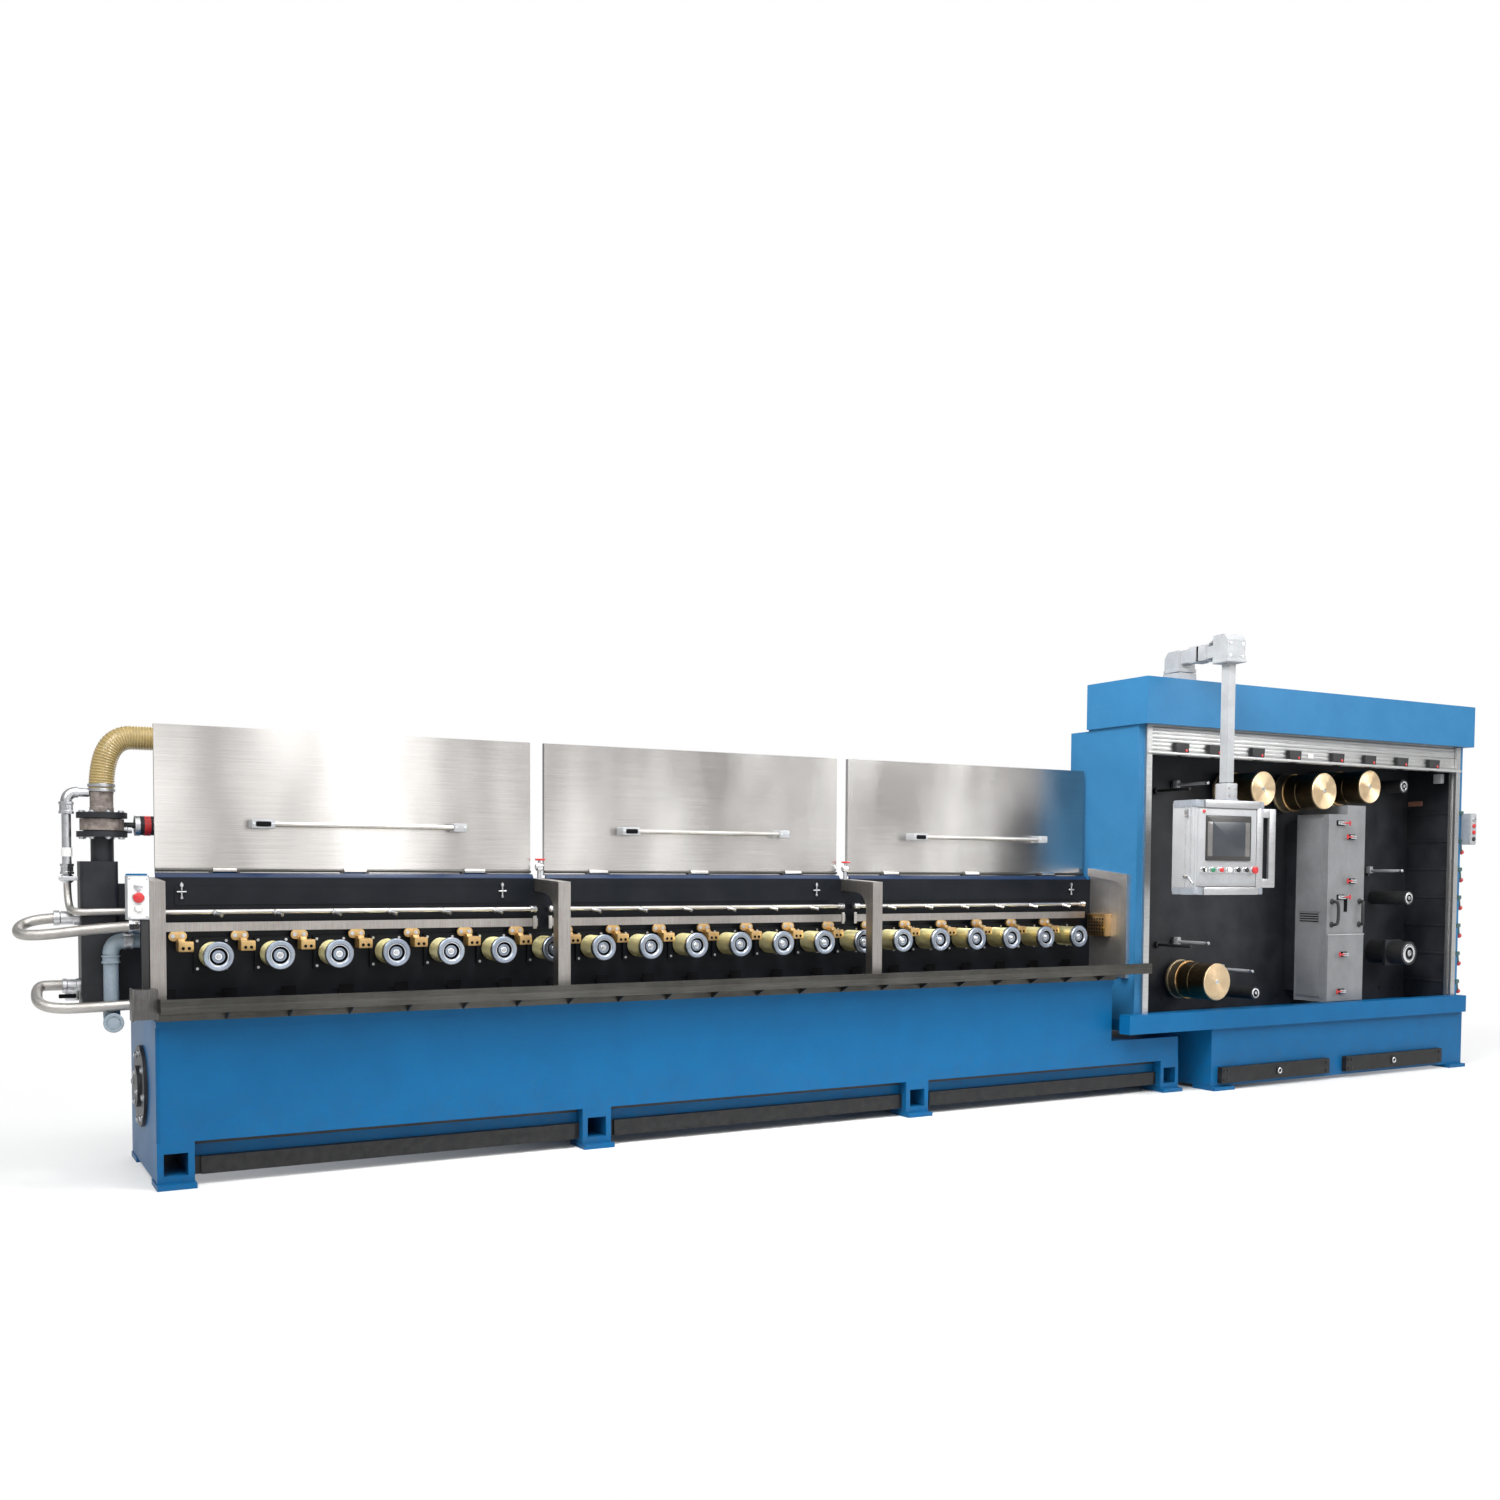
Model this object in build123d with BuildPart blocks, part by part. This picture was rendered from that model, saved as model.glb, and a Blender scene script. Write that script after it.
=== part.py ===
from build123d import *
import math
import os

# Multi-wire drawing machine with an annealing cabinet at its outlet end, in millimetres, +Z up.
# While it is modelled, X runs along the line from the base's left end, Y runs back from the
# front edge of the floor pads, and Z is the height over the floor.

# Base of the drawing section
base_length = 5225.0
base_face_y = 30.0
base_back_y = 753.0
base_under_z = 170.0
base_wall_height = 427.0
base_flange_z = base_under_z + base_wall_height
flange_thickness = 25.0
deck_z = base_flange_z + flange_thickness
flange_proud = 14.0
tail_length = 503.0
base_step_x = base_length - tail_length
tail_height = 126.0
base_tail_z = base_under_z + tail_height
corner_radius = 18.0
skirt_thickness = 12.0
skirt_height = 110.0

# Feet, floor pads and lifting pockets
foot_count = 4
foot_width = 132.0
foot_end_margin = 8.0
foot_pitch = (base_length - foot_width - foot_end_margin) / (foot_count - 1)
pad_thickness = 20.0
pad_depth = 154.0
pad_margin = 4.0
pocket_width = 86.0
pocket_low_z = 46.0
pocket_height = 84.0

# Black kick bars under the front edges
bar_depth = 36.0
bar_low_z = 40.0
bar_height = 66.0
bar_set_back = 24.0
bar_bracket = 26.0
bar_bracket_depth = 12.0

# Drawing chamber
chamber_face_y = 40.0
chamber_left_x = -13.0
chamber_overhang = 108.0
chamber_right_x = base_step_x + chamber_overhang
wall_face_y = 310.0
wall_thickness = 15.0
chamber_height = 522.0
chamber_top_z = deck_z + chamber_height
post_width = 55.0
post_slope = 12.0
post_front_z = chamber_top_z - post_slope
post_gusset_radius = 90.0
bay_count = 3
end_plate_thickness = 6.0
end_rim_width = 25.0
end_rim_depth = 42.0
end_rim_rise = 40.0
end_rim_slope = 34.0
end_rim_radius = 60.0
end_plate_face_y = 20.0
last_bay_extra = 12.0
bay_pitch = (chamber_right_x - end_rim_width - last_bay_extra - chamber_left_x) / bay_count
bay_panel_inset = 70.0
bay_panel_drop = 104.0
bay_panel_height = 70.0
bay_panel_proud = 5.0
housing_end_gap = 8.0

# Gutter along the front
gutter_front_y = -85.0
gutter_apron_y = 0.0
gutter_rise = 33.0
gutter_low_z = deck_z + gutter_rise
gutter_depth = 53.0
gutter_high_z = gutter_low_z + gutter_depth
gutter_sheet = 4.0
gutter_lip = 20.0
gutter_left_x = 4.0
gutter_overrun = 58.0
gutter_right_x = chamber_right_x + gutter_overrun
gusset_thickness = 6.0

# Capstans and their bearing flanges
capstan_per_bay = 7
capstan_count = 20
capstan_first_x = 244.0
capstan_rise = 224.0
capstan_z = deck_z + capstan_rise
capstan_face_y = 139.0
capstan_ring_radius = 56.0
capstan_ring_width = 22.0
capstan_body_radius = 50.0
capstan_groove_depth = 4.0
capstan_groove_count = 4
capstan_recess_radius = 35.0
capstan_recess_depth = 15.0
capstan_hub_radius = 13.0
capstan_hub_height = 10.0
capstan_shaft_radius = 25.0
capstan_running_gap = 6.0
shaft_clearance = 0.3
bearing_flange_size = 134.0
bearing_flange_thickness = 15.0
bearing_end_gap = 1.0
notch_width = 60.0
notch_height = 40.0
notch_rise = 34.0
notch_depth = 8.0

# Die holders, their rail and the spray pipe
rail_rise = 316.0
rail_low_z = deck_z + rail_rise
rail_height = 35.0
rail_thickness = 8.0
rail_stand_off = 32.0
rail_block_width = 40.0
rail_block_height = 26.0
holder_lug_length = 66.0
holder_lug_height = 36.0
holder_lug_thickness = 12.0
holder_lug_offset = -162.0
holder_block_length = 56.0
holder_block_height = 40.0
holder_block_depth = 70.0
holder_block_offset = -135.0
holder_bore_radius = 7.0
holder_bore_pitch = 24.0
pipe_radius = 10.0
pipe_rise = 39.0
pipe_stand_off = 25.0
pipe_clip_width = 14.0
nozzle_radius = 7.0
nozzle_reach = 36.0
nozzle_side = 32.0
nozzle_drop = 12.0
guide_block_depth = 130.0
guide_block_height = 112.0
guide_block_width = 46.0
guide_block_rise = 220.0
guide_hole_radius = 5.0
guide_hole_pitch = 26.0
guide_cap_height = 8.0
guide_cap_margin = 6.0

# Lids over the chamber
lid_side_gap = 5.0
lid_lift = 40.0
lid_bottom_z = chamber_top_z + lid_lift
lid_height = 550.0
lid_depth = 20.0
lid_sheet = 3.0
hinge_set_back = 32.0
hinge_y = wall_face_y + hinge_set_back
hinge_face_gap = 3.0
lid_face_y = hinge_y + hinge_face_gap
hinge_rise = 30.0
hinge_z = chamber_top_z + hinge_rise
hinge_pin_radius = 6.0
hinge_clearance = 0.3
knuckle_radius = 11.0
knuckle_length = 90.0
knuckle_count = 3
hinge_bracket_width = 12.0
lid_handle_length = 880.0
lid_handle_height = 172.0
lid_handle_shift = 20.0
lid_handle_reach = 52.0
lid_handle_radius = 10.0
lid_handle_block = 36.0
lid_handle_left_block = 90.0
lid_handle_right_block = 58.0

# Cabinet
cabinet_left_x = chamber_right_x
cabinet_length = 2730.0
cabinet_right_x = cabinet_left_x + cabinet_length
cabinet_wall = 44.0
back_plate_y = 310.0
back_plate_thickness = 36.0
cabinet_back_y = back_plate_y + back_plate_thickness
cabinet_front_y = -93.0
sill_clearance = 44.0
sill_low_z = base_tail_z + sill_clearance
sill_height = 100.0
sill_high_z = sill_low_z + sill_height
sill_overrun = 102.0
sill_shortfall = 12.0
sill_depth = 73.0
floor_plate = 60.0
opening_height = 1517.0
hood_low_z = sill_high_z + opening_height
hood_height = 243.0
hood_high_z = hood_low_z + hood_height
hood_overhang = 15.0
hood_sheet = 30.0
housing_depth = 134.0
housing_back_y = cabinet_back_y + housing_depth
housing_top_gap = 7.0
plinth_gap = 146.0
plinth_face_y = -60.0
plinth_pad_width = 150.0
plinth_pad_reach = 30.0
tray_depth = 30.0
tray_low_z = 40.0
tray_height = 86.0
tray_inset = 50.0
tray_length = 880.0
tray_gap = 146.0

# Roller shutter, rolled up under the hood
shutter_y = -20.0
shutter_thickness = 14.0
shutter_hang = 152.0
shutter_bar_height = 22.0
shutter_bar_depth = 26.0
shutter_slat_pitch = 32.0
shutter_groove = 4.0
guide_width = 40.0
guide_depth = 46.0
guide_slot = 16.0
shutter_edge_gap = 2.0

# Brass drums, guide rollers and eyelet rods in the cabinet: place along it as a share of its
# length, height over the sill, and radius
drum_places = ((0.3601, 1215.0, 96.0), (0.5462, 1217.0, 104.0), (0.693, 1255.0, 96.0),
               (0.2359, 145.0, 102.0))
drum_face_y = 0.0
drum_length = 260.0
drum_ring_width = 14.0
drum_ring_proud = 9.0
drum_groove_width = 18.0
drum_groove_depth = 8.0
drum_neck_radius = 80.0
drum_hub_radius = 8.0
drum_hub_height = 4.0
drum_bearing_radius = 60.0
drum_bearing_length = 20.0
drum_shaft_radius = 30.0
roller_places = ((0.3736, 65.0, 36.0), (0.8645, 597.0, 42.0), (0.87, 260.0, 72.0),
                 (0.837, 1275.0, 40.0))
roller_face_y = 60.0
roller_hub_depth = 12.0
roller_rim = 14.0
eyelet_places = ((0.1722, 1200.0), (0.1832, 340.0), (0.2967, 180.0), (0.7253, 740.0))
eyelet_rod_radius = 8.0
eyelet_face_y = 60.0
eyelet_ring_radius = 20.0

# Annealing column
column_place = 0.5549
column_width = 320.0
column_face_y = -15.0
column_depth = 215.0
column_step_height = 1086.0
column_crown = 54.0
column_door_height = 390.0
column_door_gap = 4.0
column_door_proud = 8.0
column_slot_width = 30.0
column_slot_height = 90.0
column_slot_rise = 520.0
column_slot_depth = 12.0
column_mount_inset = 50.0

# Hand levers and button box on the right side
lever_count = 7
lever_top_rise = 1120.0
lever_pitch = 173.0
lever_y = 20.0
lever_radius = 6.0
lever_reach = 66.0
lever_drop = 66.0
lever_ball_radius = 15.0
lever_boss_radius = 14.0
lever_boss_height = 12.0
side_box_width = 58.0
side_box_height = 190.0
side_box_depth = 62.0
side_box_rise = 926.0
side_box_y = -80.0

# Control console on its jib
jib_offset = 310.0
jib_x = cabinet_left_x + jib_offset
jib_y = 0.0
jib_reach = 375.0
jib_lean = 55.0
jib_base_height = 40.0
jib_base_size = 120.0
jib_pin_radius = 30.0
jib_box = 110.0
jib_tube = 70.0
jib_rise = 120.0
jib_z = hood_high_z + jib_rise
jib_elbow_height = 140.0
jib_chamfer = 30.0
drop_tube = 48.0
swivel_gap = 5.0
swivel_pin_radius = 18.0
swivel_pin_depth = 30.0
console_width = 490.0
console_depth = 170.0
console_height = 476.0
console_drop = 772.0
console_offset = 50.0
console_corner = 20.0
console_socket = 76.0
console_socket_height = 90.0
panel_shift = -22.0
screen_width = 320.0
screen_height = 226.0
screen_drop = 78.0
screen_recess = 4.0
console_grip_reach = 89.0
console_grip_thickness = 18.0
console_grip_height = 404.0
console_grip_bar = 46.0
console_grip_end = 44.0
console_button_count = 7
console_button_radius = 11.0
console_button_height = 12.0
console_button_pitch = 60.0
console_button_rise = 126.0

# Coolant pipework at the inlet end
loop_set_back = 27.0
loop_y = wall_face_y + wall_thickness + loop_set_back
drain_set_back = 53.0
drain_y = loop_y + drain_set_back
stack_x = -140.0
stack_set_back = 115.0
stack_y = drain_y + stack_set_back
tank_width = 136.0
tank_depth = 150.0
tank_rise = 28.0
tank_low_z = deck_z + tank_rise
tank_height = 556.0
tank_high_z = tank_low_z + tank_height
tank_shoulder_drop = 86.0
tank_shoulder_depth = 110.0
stack_pipe_shift = 18.0
stack_pipe_radius = 42.0
valve_neck = 94.0
valve_height = 95.0
valve_radius = 92.0
valve_plate = 22.0
actuator_radius = 38.0
actuator_length = 130.0
actuator_rod_radius = 12.0
actuator_rod_length = 28.0
stack_head = 90.0
hose_radius = 47.0
hose_bend = 115.0
hose_rise = 203.0
hose_end_x = 300.0
coolant_hose_radius = 20.0
upper_loop_rise = 336.0
upper_loop_reach = 425.0
upper_loop_climb = 30.0
lower_loop_rise = 38.0
lower_loop_reach = 365.0
lower_loop_climb = 66.0
loop_bend = 55.0
branch_radius = 14.0
branch_reach = 84.0
branch_step = 22.0
branch_bend = 40.0
branch_low_rise = 500.0
branch_end_rise = 391.0
branch_set_back = 20.0
drain_x = -108.0
drain_radius = 28.0
drain_bend = 42.0
drain_rise = 278.0
drain_drop = 30.0
drain_mouth = 70.0
flange_plate_y = 410.0
flange_plate_rise = 165.0
flange_plate_radius = 158.0
flange_boss_radius = 80.0
flange_plate_thickness = 14.0
station_width = 76.0
station_height = 160.0
station_depth = 58.0
station_rise = 371.0
station_button_radius = 13.0
station_button_height = 12.0
station_button_pitch = 40.0

pieces = {}


def slab(x0, x1, y0, y1, z0, z1, mode=Mode.ADD):
    """A block between two opposite corners."""
    with Locations(((x0 + x1) / 2, (y0 + y1) / 2, (z0 + z1) / 2)):
        Box(x1 - x0, y1 - y0, z1 - z0, mode=mode)


def bar_y(x, z, y0, y1, radius, mode=Mode.ADD):
    """A round bar along Y."""
    with Locations(Location((x, (y0 + y1) / 2, z), (90, 0, 0))):
        Cylinder(radius, y1 - y0, mode=mode)


def bar_x(y, z, x0, x1, radius, mode=Mode.ADD):
    """A round bar along X."""
    with Locations(Location(((x0 + x1) / 2, y, z), (0, 90, 0))):
        Cylinder(radius, x1 - x0, mode=mode)


def bar_z(x, y, z0, z1, radius, mode=Mode.ADD):
    """A round bar along Z."""
    with Locations((x, y, (z0 + z1) / 2)):
        Cylinder(radius, z1 - z0, mode=mode)


def run_x(points, x0, x1, mode=Mode.ADD):
    """A closed outline of (Y, Z) points carried along X."""
    with BuildSketch(Plane.YZ.offset(x0)) as section:
        with BuildLine():
            Polyline(*points, close=True)
        make_face()
    extrude(section.sketch, amount=x1 - x0, mode=mode)


def tube_along(points, bends, radius):
    """A round bar along straight runs joined by arcs."""
    with BuildLine() as route:
        FilletPolyline(*points, radius=bends)
    with BuildSketch(Plane(route.line @ 0, z_dir=route.line % 0)) as section:
        Circle(radius)
    sweep(section.sketch, path=route.line)


def capstan_x(number):
    """Where capstan 0, 1, 2 stands along the line."""
    return capstan_first_x + number * bay_pitch / capstan_per_bay


def post_right_x(number):
    """Right side of arch post 0, 1, 2."""
    return chamber_left_x + post_width + number * bay_pitch


def along_cabinet(share):
    """Where a share of the cabinet's length lies along the line."""
    return cabinet_left_x + share * cabinet_length


def keep(name, builder):
    """Puts a finished piece on the list under its node name."""
    pieces[name] = builder.part


# Base: a welded box with a proud top flange, lower where it runs under the cabinet,
# and a set-back skirt between the feet
foot_starts = [number * foot_pitch for number in range(foot_count)]
recesses = [(a + foot_width, b) for a, b in zip(foot_starts, foot_starts[1:])]
bar_face_y = base_face_y + bar_set_back
skirt_face_y = bar_face_y + bar_depth
with BuildPart() as base_body:
    slab(0, base_step_x, base_face_y, base_back_y, base_under_z, base_flange_z)
    slab(base_step_x, base_length, base_face_y, base_back_y, base_under_z, base_tail_z)
    front_edges = base_body.edges().filter_by(Axis.Z).group_by(Axis.Y)[0]
    fillet(front_edges.group_by(Axis.X)[0] + front_edges.group_by(Axis.X)[-1], corner_radius)
    slab(0, base_step_x, base_face_y - flange_proud, base_back_y, base_flange_z, deck_z)
    for left, right in recesses:
        slab(left, right, skirt_face_y, skirt_face_y + skirt_thickness,
             base_under_z - skirt_height, base_under_z)
keep("base_body", base_body)

# Feet: square lifting pockets through each foot, a floor pad under its front and its back,
# and pads under the cabinet's plinth
plinth_left_x = base_length + plinth_gap
plinth_pad_y = plinth_face_y - plinth_pad_reach
with BuildPart() as machine_feet:
    for x0 in foot_starts:
        middle = x0 + foot_width / 2
        slab(x0, x0 + foot_width, base_face_y, base_back_y, pad_thickness, base_under_z)
        slab(middle - pocket_width / 2, middle + pocket_width / 2, base_face_y, base_back_y,
             pocket_low_z, pocket_low_z + pocket_height, Mode.SUBTRACT)
        for y0 in (0, base_back_y - pad_depth):
            slab(x0 - pad_margin, x0 + foot_width + pad_margin, y0, y0 + pad_depth, 0, pad_thickness)
    for x0 in (plinth_left_x, cabinet_right_x - plinth_pad_width):
        for y0 in (plinth_pad_y, housing_back_y - pad_depth):
            slab(x0 - pad_margin, x0 + plinth_pad_width, y0, y0 + pad_depth, 0, pad_thickness)
keep("machine_feet", machine_feet)

# Kick bars: one in each recess, on a bracket from the foot at either end, and two trays on the plinth
bracket_y = bar_face_y + (bar_depth - bar_bracket_depth) / 2
with BuildPart() as kick_bars:
    for left, right in recesses:
        slab(left + bar_bracket, right - bar_bracket, bar_face_y, skirt_face_y,
             bar_low_z, bar_low_z + bar_height)
        for x0 in (left, right - bar_bracket):
            slab(x0, x0 + bar_bracket, bracket_y, bracket_y + bar_bracket_depth,
                 bar_low_z, bar_low_z + bar_height)
    for number in range(2):
        x0 = plinth_left_x + tray_inset + number * (tray_length + tray_gap)
        slab(x0, x0 + tray_length, plinth_face_y - tray_depth, plinth_face_y,
             tray_low_z, tray_low_z + tray_height)
keep("kick_bars", kick_bars)

# Inspection flange on the base's left end
flange_plate_z = base_under_z + flange_plate_rise
with BuildPart() as end_flange:
    bar_x(flange_plate_y, flange_plate_z, -flange_plate_thickness, 0, flange_plate_radius)
    bar_x(flange_plate_y, flange_plate_z, -flange_plate_thickness * 2, -flange_plate_thickness,
          flange_boss_radius)
keep("end_flange", end_flange)

# Gutter: one folded sheet from the front lip over the apron to the chamber floor, on gussets
floor_back_y = wall_face_y
guide_front_y = shutter_y + shutter_thickness / 2 - guide_depth / 2
gutter_outline = (
    (gutter_front_y + gutter_lip, gutter_high_z), (gutter_front_y, gutter_high_z),
    (gutter_front_y, gutter_low_z),
    (gutter_apron_y, gutter_low_z), (gutter_apron_y, deck_z), (floor_back_y, deck_z),
    (floor_back_y, deck_z + gutter_sheet), (gutter_apron_y + gutter_sheet, deck_z + gutter_sheet),
    (gutter_apron_y + gutter_sheet, gutter_low_z + gutter_sheet),
    (gutter_front_y + gutter_sheet, gutter_low_z + gutter_sheet),
    (gutter_front_y + gutter_sheet, gutter_high_z - gutter_sheet),
    (gutter_front_y + gutter_lip, gutter_high_z - gutter_sheet))
trough_outline = (
    (gutter_front_y + gutter_lip, gutter_high_z), (gutter_front_y, gutter_high_z),
    (gutter_front_y, gutter_low_z),
    (guide_front_y, gutter_low_z), (guide_front_y, gutter_low_z + gutter_sheet),
    (gutter_front_y + gutter_sheet, gutter_low_z + gutter_sheet),
    (gutter_front_y + gutter_sheet, gutter_high_z - gutter_sheet),
    (gutter_front_y + gutter_lip, gutter_high_z - gutter_sheet))
with BuildPart() as gutter:
    run_x(gutter_outline, gutter_left_x, base_step_x)
    run_x(trough_outline, base_step_x, gutter_right_x)
    slab(gutter_left_x, gutter_left_x + gutter_sheet, gutter_front_y, gutter_apron_y + gutter_sheet,
         gutter_low_z, gutter_high_z)
    slab(gutter_right_x - gutter_sheet, gutter_right_x, gutter_front_y, guide_front_y,
         gutter_low_z, gutter_high_z)
    gusset = ((gutter_front_y + gutter_lip, gutter_low_z), (gutter_apron_y, deck_z),
              (gutter_apron_y, gutter_low_z))
    for number in range(capstan_count):
        x0 = capstan_x(number) - gusset_thickness / 2
        run_x(gusset, x0, x0 + gusset_thickness)
keep("gutter", gutter)

# Black chamber wall: a raised panel in each bay, a bearing flange and a low notch for each capstan
wall_back_y = wall_face_y + wall_thickness
flange_face_y = wall_face_y - bearing_flange_thickness
bay_panel_low_z = chamber_top_z - bay_panel_drop
notch_low_z = deck_z + notch_rise
with BuildPart() as chamber_wall:
    slab(chamber_left_x, chamber_right_x, wall_face_y, wall_back_y, deck_z, chamber_top_z)
    for bay in range(bay_count):
        x0 = post_right_x(bay) + bay_panel_inset
        x1 = x0 + bay_pitch - post_width - 2 * bay_panel_inset
        slab(x0, x1, wall_face_y - bay_panel_proud, wall_face_y,
             bay_panel_low_z, bay_panel_low_z + bay_panel_height)
    for number in range(capstan_count):
        x = capstan_x(number)
        half = bearing_flange_size / 2
        slab(x - half, x + half, flange_face_y, wall_face_y, capstan_z - half, capstan_z + half)
        bar_y(x, capstan_z, flange_face_y, wall_face_y, capstan_shaft_radius + shaft_clearance, Mode.SUBTRACT)
        slab(x + half - notch_width, x + half, wall_face_y, wall_face_y + notch_depth,
             notch_low_z, notch_low_z + notch_height, Mode.SUBTRACT)
keep("chamber_wall", chamber_wall)

# Gear housing behind the wall
with BuildPart() as gear_housing:
    slab(housing_end_gap, chamber_right_x, wall_back_y, base_back_y, deck_z, chamber_top_z)
    fillet(gear_housing.edges().filter_by(Axis.X).sort_by(Axis.Y)[-1], corner_radius)
keep("gear_housing", gear_housing)

# Arch posts: an upright tube at the front, a sloping head back to the wall, a curved inner corner
floor_top_z = deck_z + gutter_sheet
post_back_y = chamber_face_y + post_width
head_low_z = post_front_z - post_width


def arch(builder, x0):
    """One arch, with its left side at x0."""
    run_x(((chamber_face_y, floor_top_z), (chamber_face_y, post_front_z), (wall_face_y, chamber_top_z),
           (wall_face_y, chamber_top_z - post_width), (post_back_y, head_low_z), (post_back_y, floor_top_z)),
          x0, x0 + post_width)
    corner = (x0 + post_width / 2, post_back_y, head_low_z)
    fillet(builder.edges().filter_by(Axis.X).sort_by_distance(corner)[0], post_gusset_radius)


with BuildPart() as arch_posts:
    for number in range(bay_count):
        arch(arch_posts, post_right_x(number) - post_width)
keep("arch_posts", arch_posts)

# Right end of the chamber: a plate against the cabinet with a rim round its front and top
rim_left_x = chamber_right_x - end_rim_width
rim_front_z = post_front_z + end_rim_rise
rim_back_z = rim_front_z + end_rim_slope
plate_outline = ((end_plate_face_y, floor_top_z), (end_plate_face_y, rim_front_z), (wall_face_y, rim_back_z),
                 (wall_face_y, floor_top_z))
rim_inner_y = end_plate_face_y + end_rim_depth
rim_inner_z = rim_front_z - end_rim_depth
with BuildPart() as right_end_plate:
    run_x(plate_outline, rim_left_x, chamber_right_x)
    run_x(((rim_inner_y, floor_top_z), (rim_inner_y, rim_inner_z), (wall_face_y, rim_back_z - end_rim_depth),
           (wall_face_y, floor_top_z)), rim_left_x, chamber_right_x - end_plate_thickness, Mode.SUBTRACT)
    inner_corner = (rim_left_x + end_rim_width / 2, rim_inner_y, rim_inner_z)
    fillet(right_end_plate.edges().filter_by(Axis.X).sort_by_distance(inner_corner)[0], end_rim_radius)
keep("right_end_plate", right_end_plate)

# Flat rail for the die holders, on stand-off blocks from the wall
rail_back_y = wall_face_y - rail_stand_off
rail_face_y = rail_back_y - rail_thickness
rail_high_z = rail_low_z + rail_height
rail_right_x = rim_left_x - post_width
block_low_z = (rail_low_z + rail_high_z - rail_block_height) / 2
with BuildPart() as die_rail:
    for bay in range(bay_count):
        x0 = post_right_x(bay)
        x1 = min(post_right_x(bay + 1) - post_width, rail_right_x)
        slab(x0, x1, rail_face_y, rail_back_y, rail_low_z, rail_high_z)
        for block_x in (x0 + post_width, x1 - post_width - rail_block_width):
            slab(block_x, block_x + rail_block_width, rail_back_y, wall_face_y, block_low_z,
                 block_low_z + rail_block_height)
keep("die_rail", die_rail)

# Brass die holders: a lug with round ends under the rail, a block with two die bores beside each
# capstan, and the perforated wire guide on the right end plate
with BuildPart() as die_holders:
    for number in range(capstan_count):
        lug_x = capstan_x(number) + holder_lug_offset
        block_x = capstan_x(number) + holder_block_offset
        lug_y = rail_back_y - holder_lug_thickness
        lug_end = holder_lug_height / 2
        slab(lug_x + lug_end, lug_x + holder_lug_length - lug_end, lug_y, rail_back_y,
             rail_low_z - holder_lug_height, rail_low_z)
        for x in (lug_x + lug_end, lug_x + holder_lug_length - lug_end):
            bar_y(x, rail_low_z - lug_end, lug_y, rail_back_y, lug_end)
        slab(block_x, lug_x + holder_lug_length - lug_end / 2, lug_y, rail_back_y,
             rail_low_z - holder_lug_height, rail_low_z - lug_end)
        block_y = rail_back_y - holder_block_depth
        block_z = rail_low_z - holder_lug_height - holder_block_height
        slab(block_x, block_x + holder_block_length, block_y, rail_back_y,
             block_z, block_z + holder_block_height)
        for side in (-1, 1):
            bore_x = block_x + (holder_block_length + side * holder_bore_pitch) / 2
            bar_y(bore_x, block_z + holder_block_height / 2, block_y, block_y + holder_block_depth / 2,
                  holder_bore_radius, Mode.SUBTRACT)
    guide_x = chamber_right_x - end_plate_thickness
    guide_y = post_back_y + post_width
    guide_low_z = deck_z + guide_block_rise
    guide_top_z = guide_low_z + guide_block_height
    slab(guide_x - guide_block_width, guide_x, guide_y, guide_y + guide_block_depth, guide_low_z, guide_top_z)
    slab(guide_x - guide_block_width - guide_cap_margin, guide_x, guide_y - guide_cap_margin,
         guide_y + guide_block_depth + guide_cap_margin, guide_top_z, guide_top_z + guide_cap_height)
    for row in (-1, 0, 1):
        for column in (-1.5, -0.5, 0.5, 1.5):
            bar_x(guide_y + guide_block_depth / 2 + column * guide_hole_pitch,
                  guide_low_z + guide_block_height / 2 + row * guide_hole_pitch,
                  guide_x - guide_block_width, guide_x, guide_hole_radius, Mode.SUBTRACT)
keep("die_holders", die_holders)

# Spray pipe on clips from the wall, one nozzle tube for each capstan
pipe_y = wall_face_y - pipe_stand_off
pipe_z = rail_high_z + pipe_rise
with BuildPart() as spray_pipe:
    for bay in range(bay_count):
        x0 = post_right_x(bay)
        x1 = post_right_x(bay + 1) - post_width
        if bay == bay_count - 1:
            x1 = rim_left_x - post_width
        bar_x(pipe_y, pipe_z, x0, x1, pipe_radius)
        for clip_x in (x0 + post_width, x1 - post_width):
            slab(clip_x, clip_x + pipe_clip_width, pipe_y, wall_face_y,
                 pipe_z - pipe_radius, pipe_z + pipe_radius)
        for number in range(bay * capstan_per_bay, bay * capstan_per_bay + capstan_per_bay - 1):
            x = capstan_x(number)
            nozzle = Plane(origin=(x, pipe_y, pipe_z), z_dir=(nozzle_side, -nozzle_reach, -nozzle_drop))
            with BuildSketch(nozzle):
                Circle(nozzle_radius)
            extrude(amount=math.hypot(nozzle_side, nozzle_reach, nozzle_drop))
keep("spray_pipe", spray_pipe)

# Capstans: grooved body, bright front ring, recessed hub, shaft into the bearing flange
capstan_back_y = flange_face_y - capstan_running_gap
body_front_y = capstan_face_y + capstan_ring_width
groove_pitch = (capstan_back_y - body_front_y) / (capstan_groove_count + 1)
recess_y = capstan_face_y + capstan_recess_depth
outline = [(recess_y - capstan_hub_height, 0), (recess_y - capstan_hub_height, capstan_hub_radius),
           (recess_y, capstan_hub_radius), (recess_y, capstan_recess_radius),
           (capstan_face_y, capstan_recess_radius), (capstan_face_y, capstan_ring_radius),
           (body_front_y, capstan_ring_radius), (body_front_y, capstan_body_radius)]
for groove in range(1, capstan_groove_count + 1):
    y = body_front_y + groove * groove_pitch
    outline += [(y - capstan_groove_depth, capstan_body_radius),
                (y, capstan_body_radius - capstan_groove_depth),
                (y + capstan_groove_depth, capstan_body_radius)]
shaft_end_y = wall_face_y - bearing_end_gap
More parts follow.
